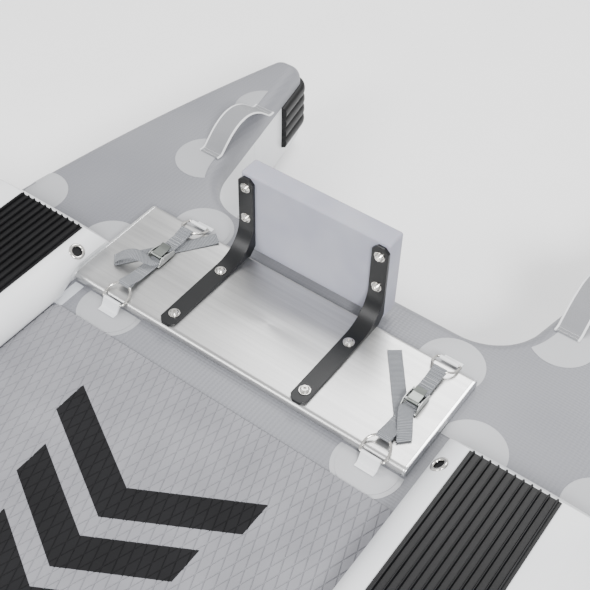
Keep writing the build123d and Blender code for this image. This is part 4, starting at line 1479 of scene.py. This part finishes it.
thread = finish_material(
    "pale_polyester_thread", {"Roughness": 0.45}, calendered("#C9CACC", "#D8D9DA"), 0.00005, 0.3
)
close_tree(stitch_tree, beads.outputs[0], thread)

row_mesh = bpy.data.meshes.new("stitch_rows")
corners = [p for row in thread_rows for p in row]
starts = np.cumsum([0] + [len(row) for row in thread_rows])
pairs = [(k, k + 1) for a, b in zip(starts, starts[1:]) for k in range(a, b - 1)]
row_mesh.from_pydata(corners, pairs, [])
stitch_mesh = grow(
    "stitches", stitch_tree, {"Pitch": 2.9 * MM, "Stitch": 2.3 * MM, "Thread": 0.7 * MM}, row_mesh
)
place_piece("stitches", stitch_mesh, None, (), angle=60)

# %% [markdown]
# ## Welded loops for the rings
# Each D-ring hangs in a loop of the hull fabric.  The strip lies flat on its patch, rises steeply,
# goes once round the ring's bar and comes back down under itself.

# %% Ring loops
RING_BAR_OUT = 118.5 * MM
RING_BAR_UP = 18 * MM
# (out from the bar, up from the deck) of the strip before and after its turn, in millimetres
loop_up = ((20, 2.9), (14, 3.0), (10.5, 4.6), (7.0, 10.0))
loop_down = ((2.6, 12.2), (6.6, 6.4), (10.5, 2.6), (18, 2.3))
bm = bmesh.new()
for end, way in (("fore", 1), ("aft", -1)):
    for side, sign in SIDES:
        ring_low, ring_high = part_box(f"d_ring_{end}_{side}")
        bar = Vector((MOUNT_X + way * RING_BAR_OUT, (ring_low.y + ring_high.y) / 2, DECK))
        across, ahead = Vector((0, 1, 0)), Vector((way, 0, 0))
        rise, fall = (
            [(bar + Vector((way * out * MM, 0, up * MM)), across) for out, up in legs]
            for legs in (loop_up, loop_down)
        )
        over = half_turn(bar + Vector((0, 0, RING_BAR_UP)), 3.1 * MM, 10, 250, across, ahead)
        keys = rise + over[::2] + fall
        weave_strip(bm, flow(keys, 0.8 * MM), 36 * MM, 1.1 * MM)
settle("ring_loop_strips", bm, [wall_fabric], ["ring_loops"], angle=50)

# %% [markdown]
# ## Lids on the plank's ends
# A thin bright lid is pressed over each open end of the extrusion.  Its lip goes a few millimetres
# onto the plank and its rim is rounded, so it catches the light as a bright line.

# %% Plank end lids
def plank_outline(grow_by):
    """Rounded outline of the plank's section, as (x, z), moved outwards."""
    half_x, half_z = (plate_high.x - plate_low.x) / 2, (plate_high.z - plate_low.z) / 2
    round_off = 9 * MM
    middle_z = (plate_low.z + plate_high.z) / 2
    points = []
    for start, sx, sz in ((0, 1, 1), (90, -1, 1), (180, -1, -1), (270, 1, -1)):
        for n in range(9):
            a = math.radians(start + 90 * n / 8)
            radius = round_off + grow_by
            points.append(
                (
                    MOUNT_X + sx * (half_x - round_off) + radius * math.cos(a),
                    middle_z + sz * (half_z - round_off) + radius * math.sin(a),
                )
            )
    return points


cap_low, cap_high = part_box("plate_end_caps")
# (out from the plank, in from its end) of a lid's section, in millimetres
lid_steps = [(0.02, -5.5), (0.3, -5.3), (0.4, -4.8), (0.4, -1.0), (0.2, -0.4)]
lid_steps += [(-0.4, 0.0), (-5.0, 0.0)]
bm = bmesh.new()
for end_y, way in ((cap_high.y, 1), (cap_low.y, -1)):
    rows = [
        [(x, end_y + way * y * MM, z) for x, z in plank_outline(out * MM)] for out, y in lid_steps
    ]
    grid, _ = skin(bm, rows)
    bm.faces.new(grid[0])
    bm.faces.new(grid[-1])
settle("plank_lids", bm, [cap_metal], ["plate_end_caps"], angle=60)

# %% [markdown]
# ## Camera, floor and light
# A plain pale floor, a bright even sky and three large soft lamps give the look of a white studio.

# %% Camera
camera_data = bpy.data.cameras.new("camera")
camera = bpy.data.objects.new("camera", camera_data)
bpy.context.scene.collection.objects.link(camera)
yaw, pitch, roll = math.radians(35.19), math.radians(47.475), math.radians(1.38)
level = math.cos(pitch)
look = Vector((-math.cos(yaw) * level, -math.sin(yaw) * level, -math.sin(pitch)))
turn = look.to_track_quat("-Z", "Y").to_matrix() @ Matrix.Rotation(roll, 3, "Z")
camera.matrix_world = Matrix.Translation((0.219, 0.717, 1.6205)) @ turn.to_4x4()
camera_data.sensor_width = 36
camera_data.lens = 66.14
bpy.context.scene.camera = camera

# %% Floor and lights
floor_bm = bmesh.new()
bmesh.ops.create_grid(floor_bm, x_segments=2, y_segments=2, size=30)
floor_mesh = bpy.data.meshes.new("studio_floor")
floor_bm.to_mesh(floor_mesh)
floor_bm.free()
studio_floor = bpy.data.objects.new("studio_floor", floor_mesh)
studio_floor.location.z = -0.5 * MM
bpy.context.scene.collection.objects.link(studio_floor)
floor_mesh.materials.append(
    finish_material("studio_floor_paint", {"Roughness": 0.9}, calendered("#F9F9F9", "#FBFBFB"))
)

world = bpy.data.worlds.new("studio")
bpy.context.scene.world = world
world.use_nodes = True
world.node_tree.nodes["Background"].inputs[0].default_value = (1, 1, 1, 1)
world.node_tree.nodes["Background"].inputs[1].default_value = 1.15
for name, place, size, power in (
    ("key_lamp", (2.2, 3.2, 3.6), 1.4, 400),
    ("edge_lamp", (2.6, -1.75, 2.7), 1.8, 110),
    ("back_lamp", (-3.3, -0.5, 3.6), 1.8, 110),
):
    lamp_data = bpy.data.lights.new(name, "AREA")
    lamp_data.size = size
    lamp_data.energy = power
    lamp = bpy.data.objects.new(name, lamp_data)
    lamp.location = place
    aim = Vector((MOUNT_X, 0, DECK)) - Vector(place)
    lamp.rotation_euler = aim.to_track_quat("-Z", "Y").to_euler()
    bpy.context.scene.collection.objects.link(lamp)
print("studio ready")
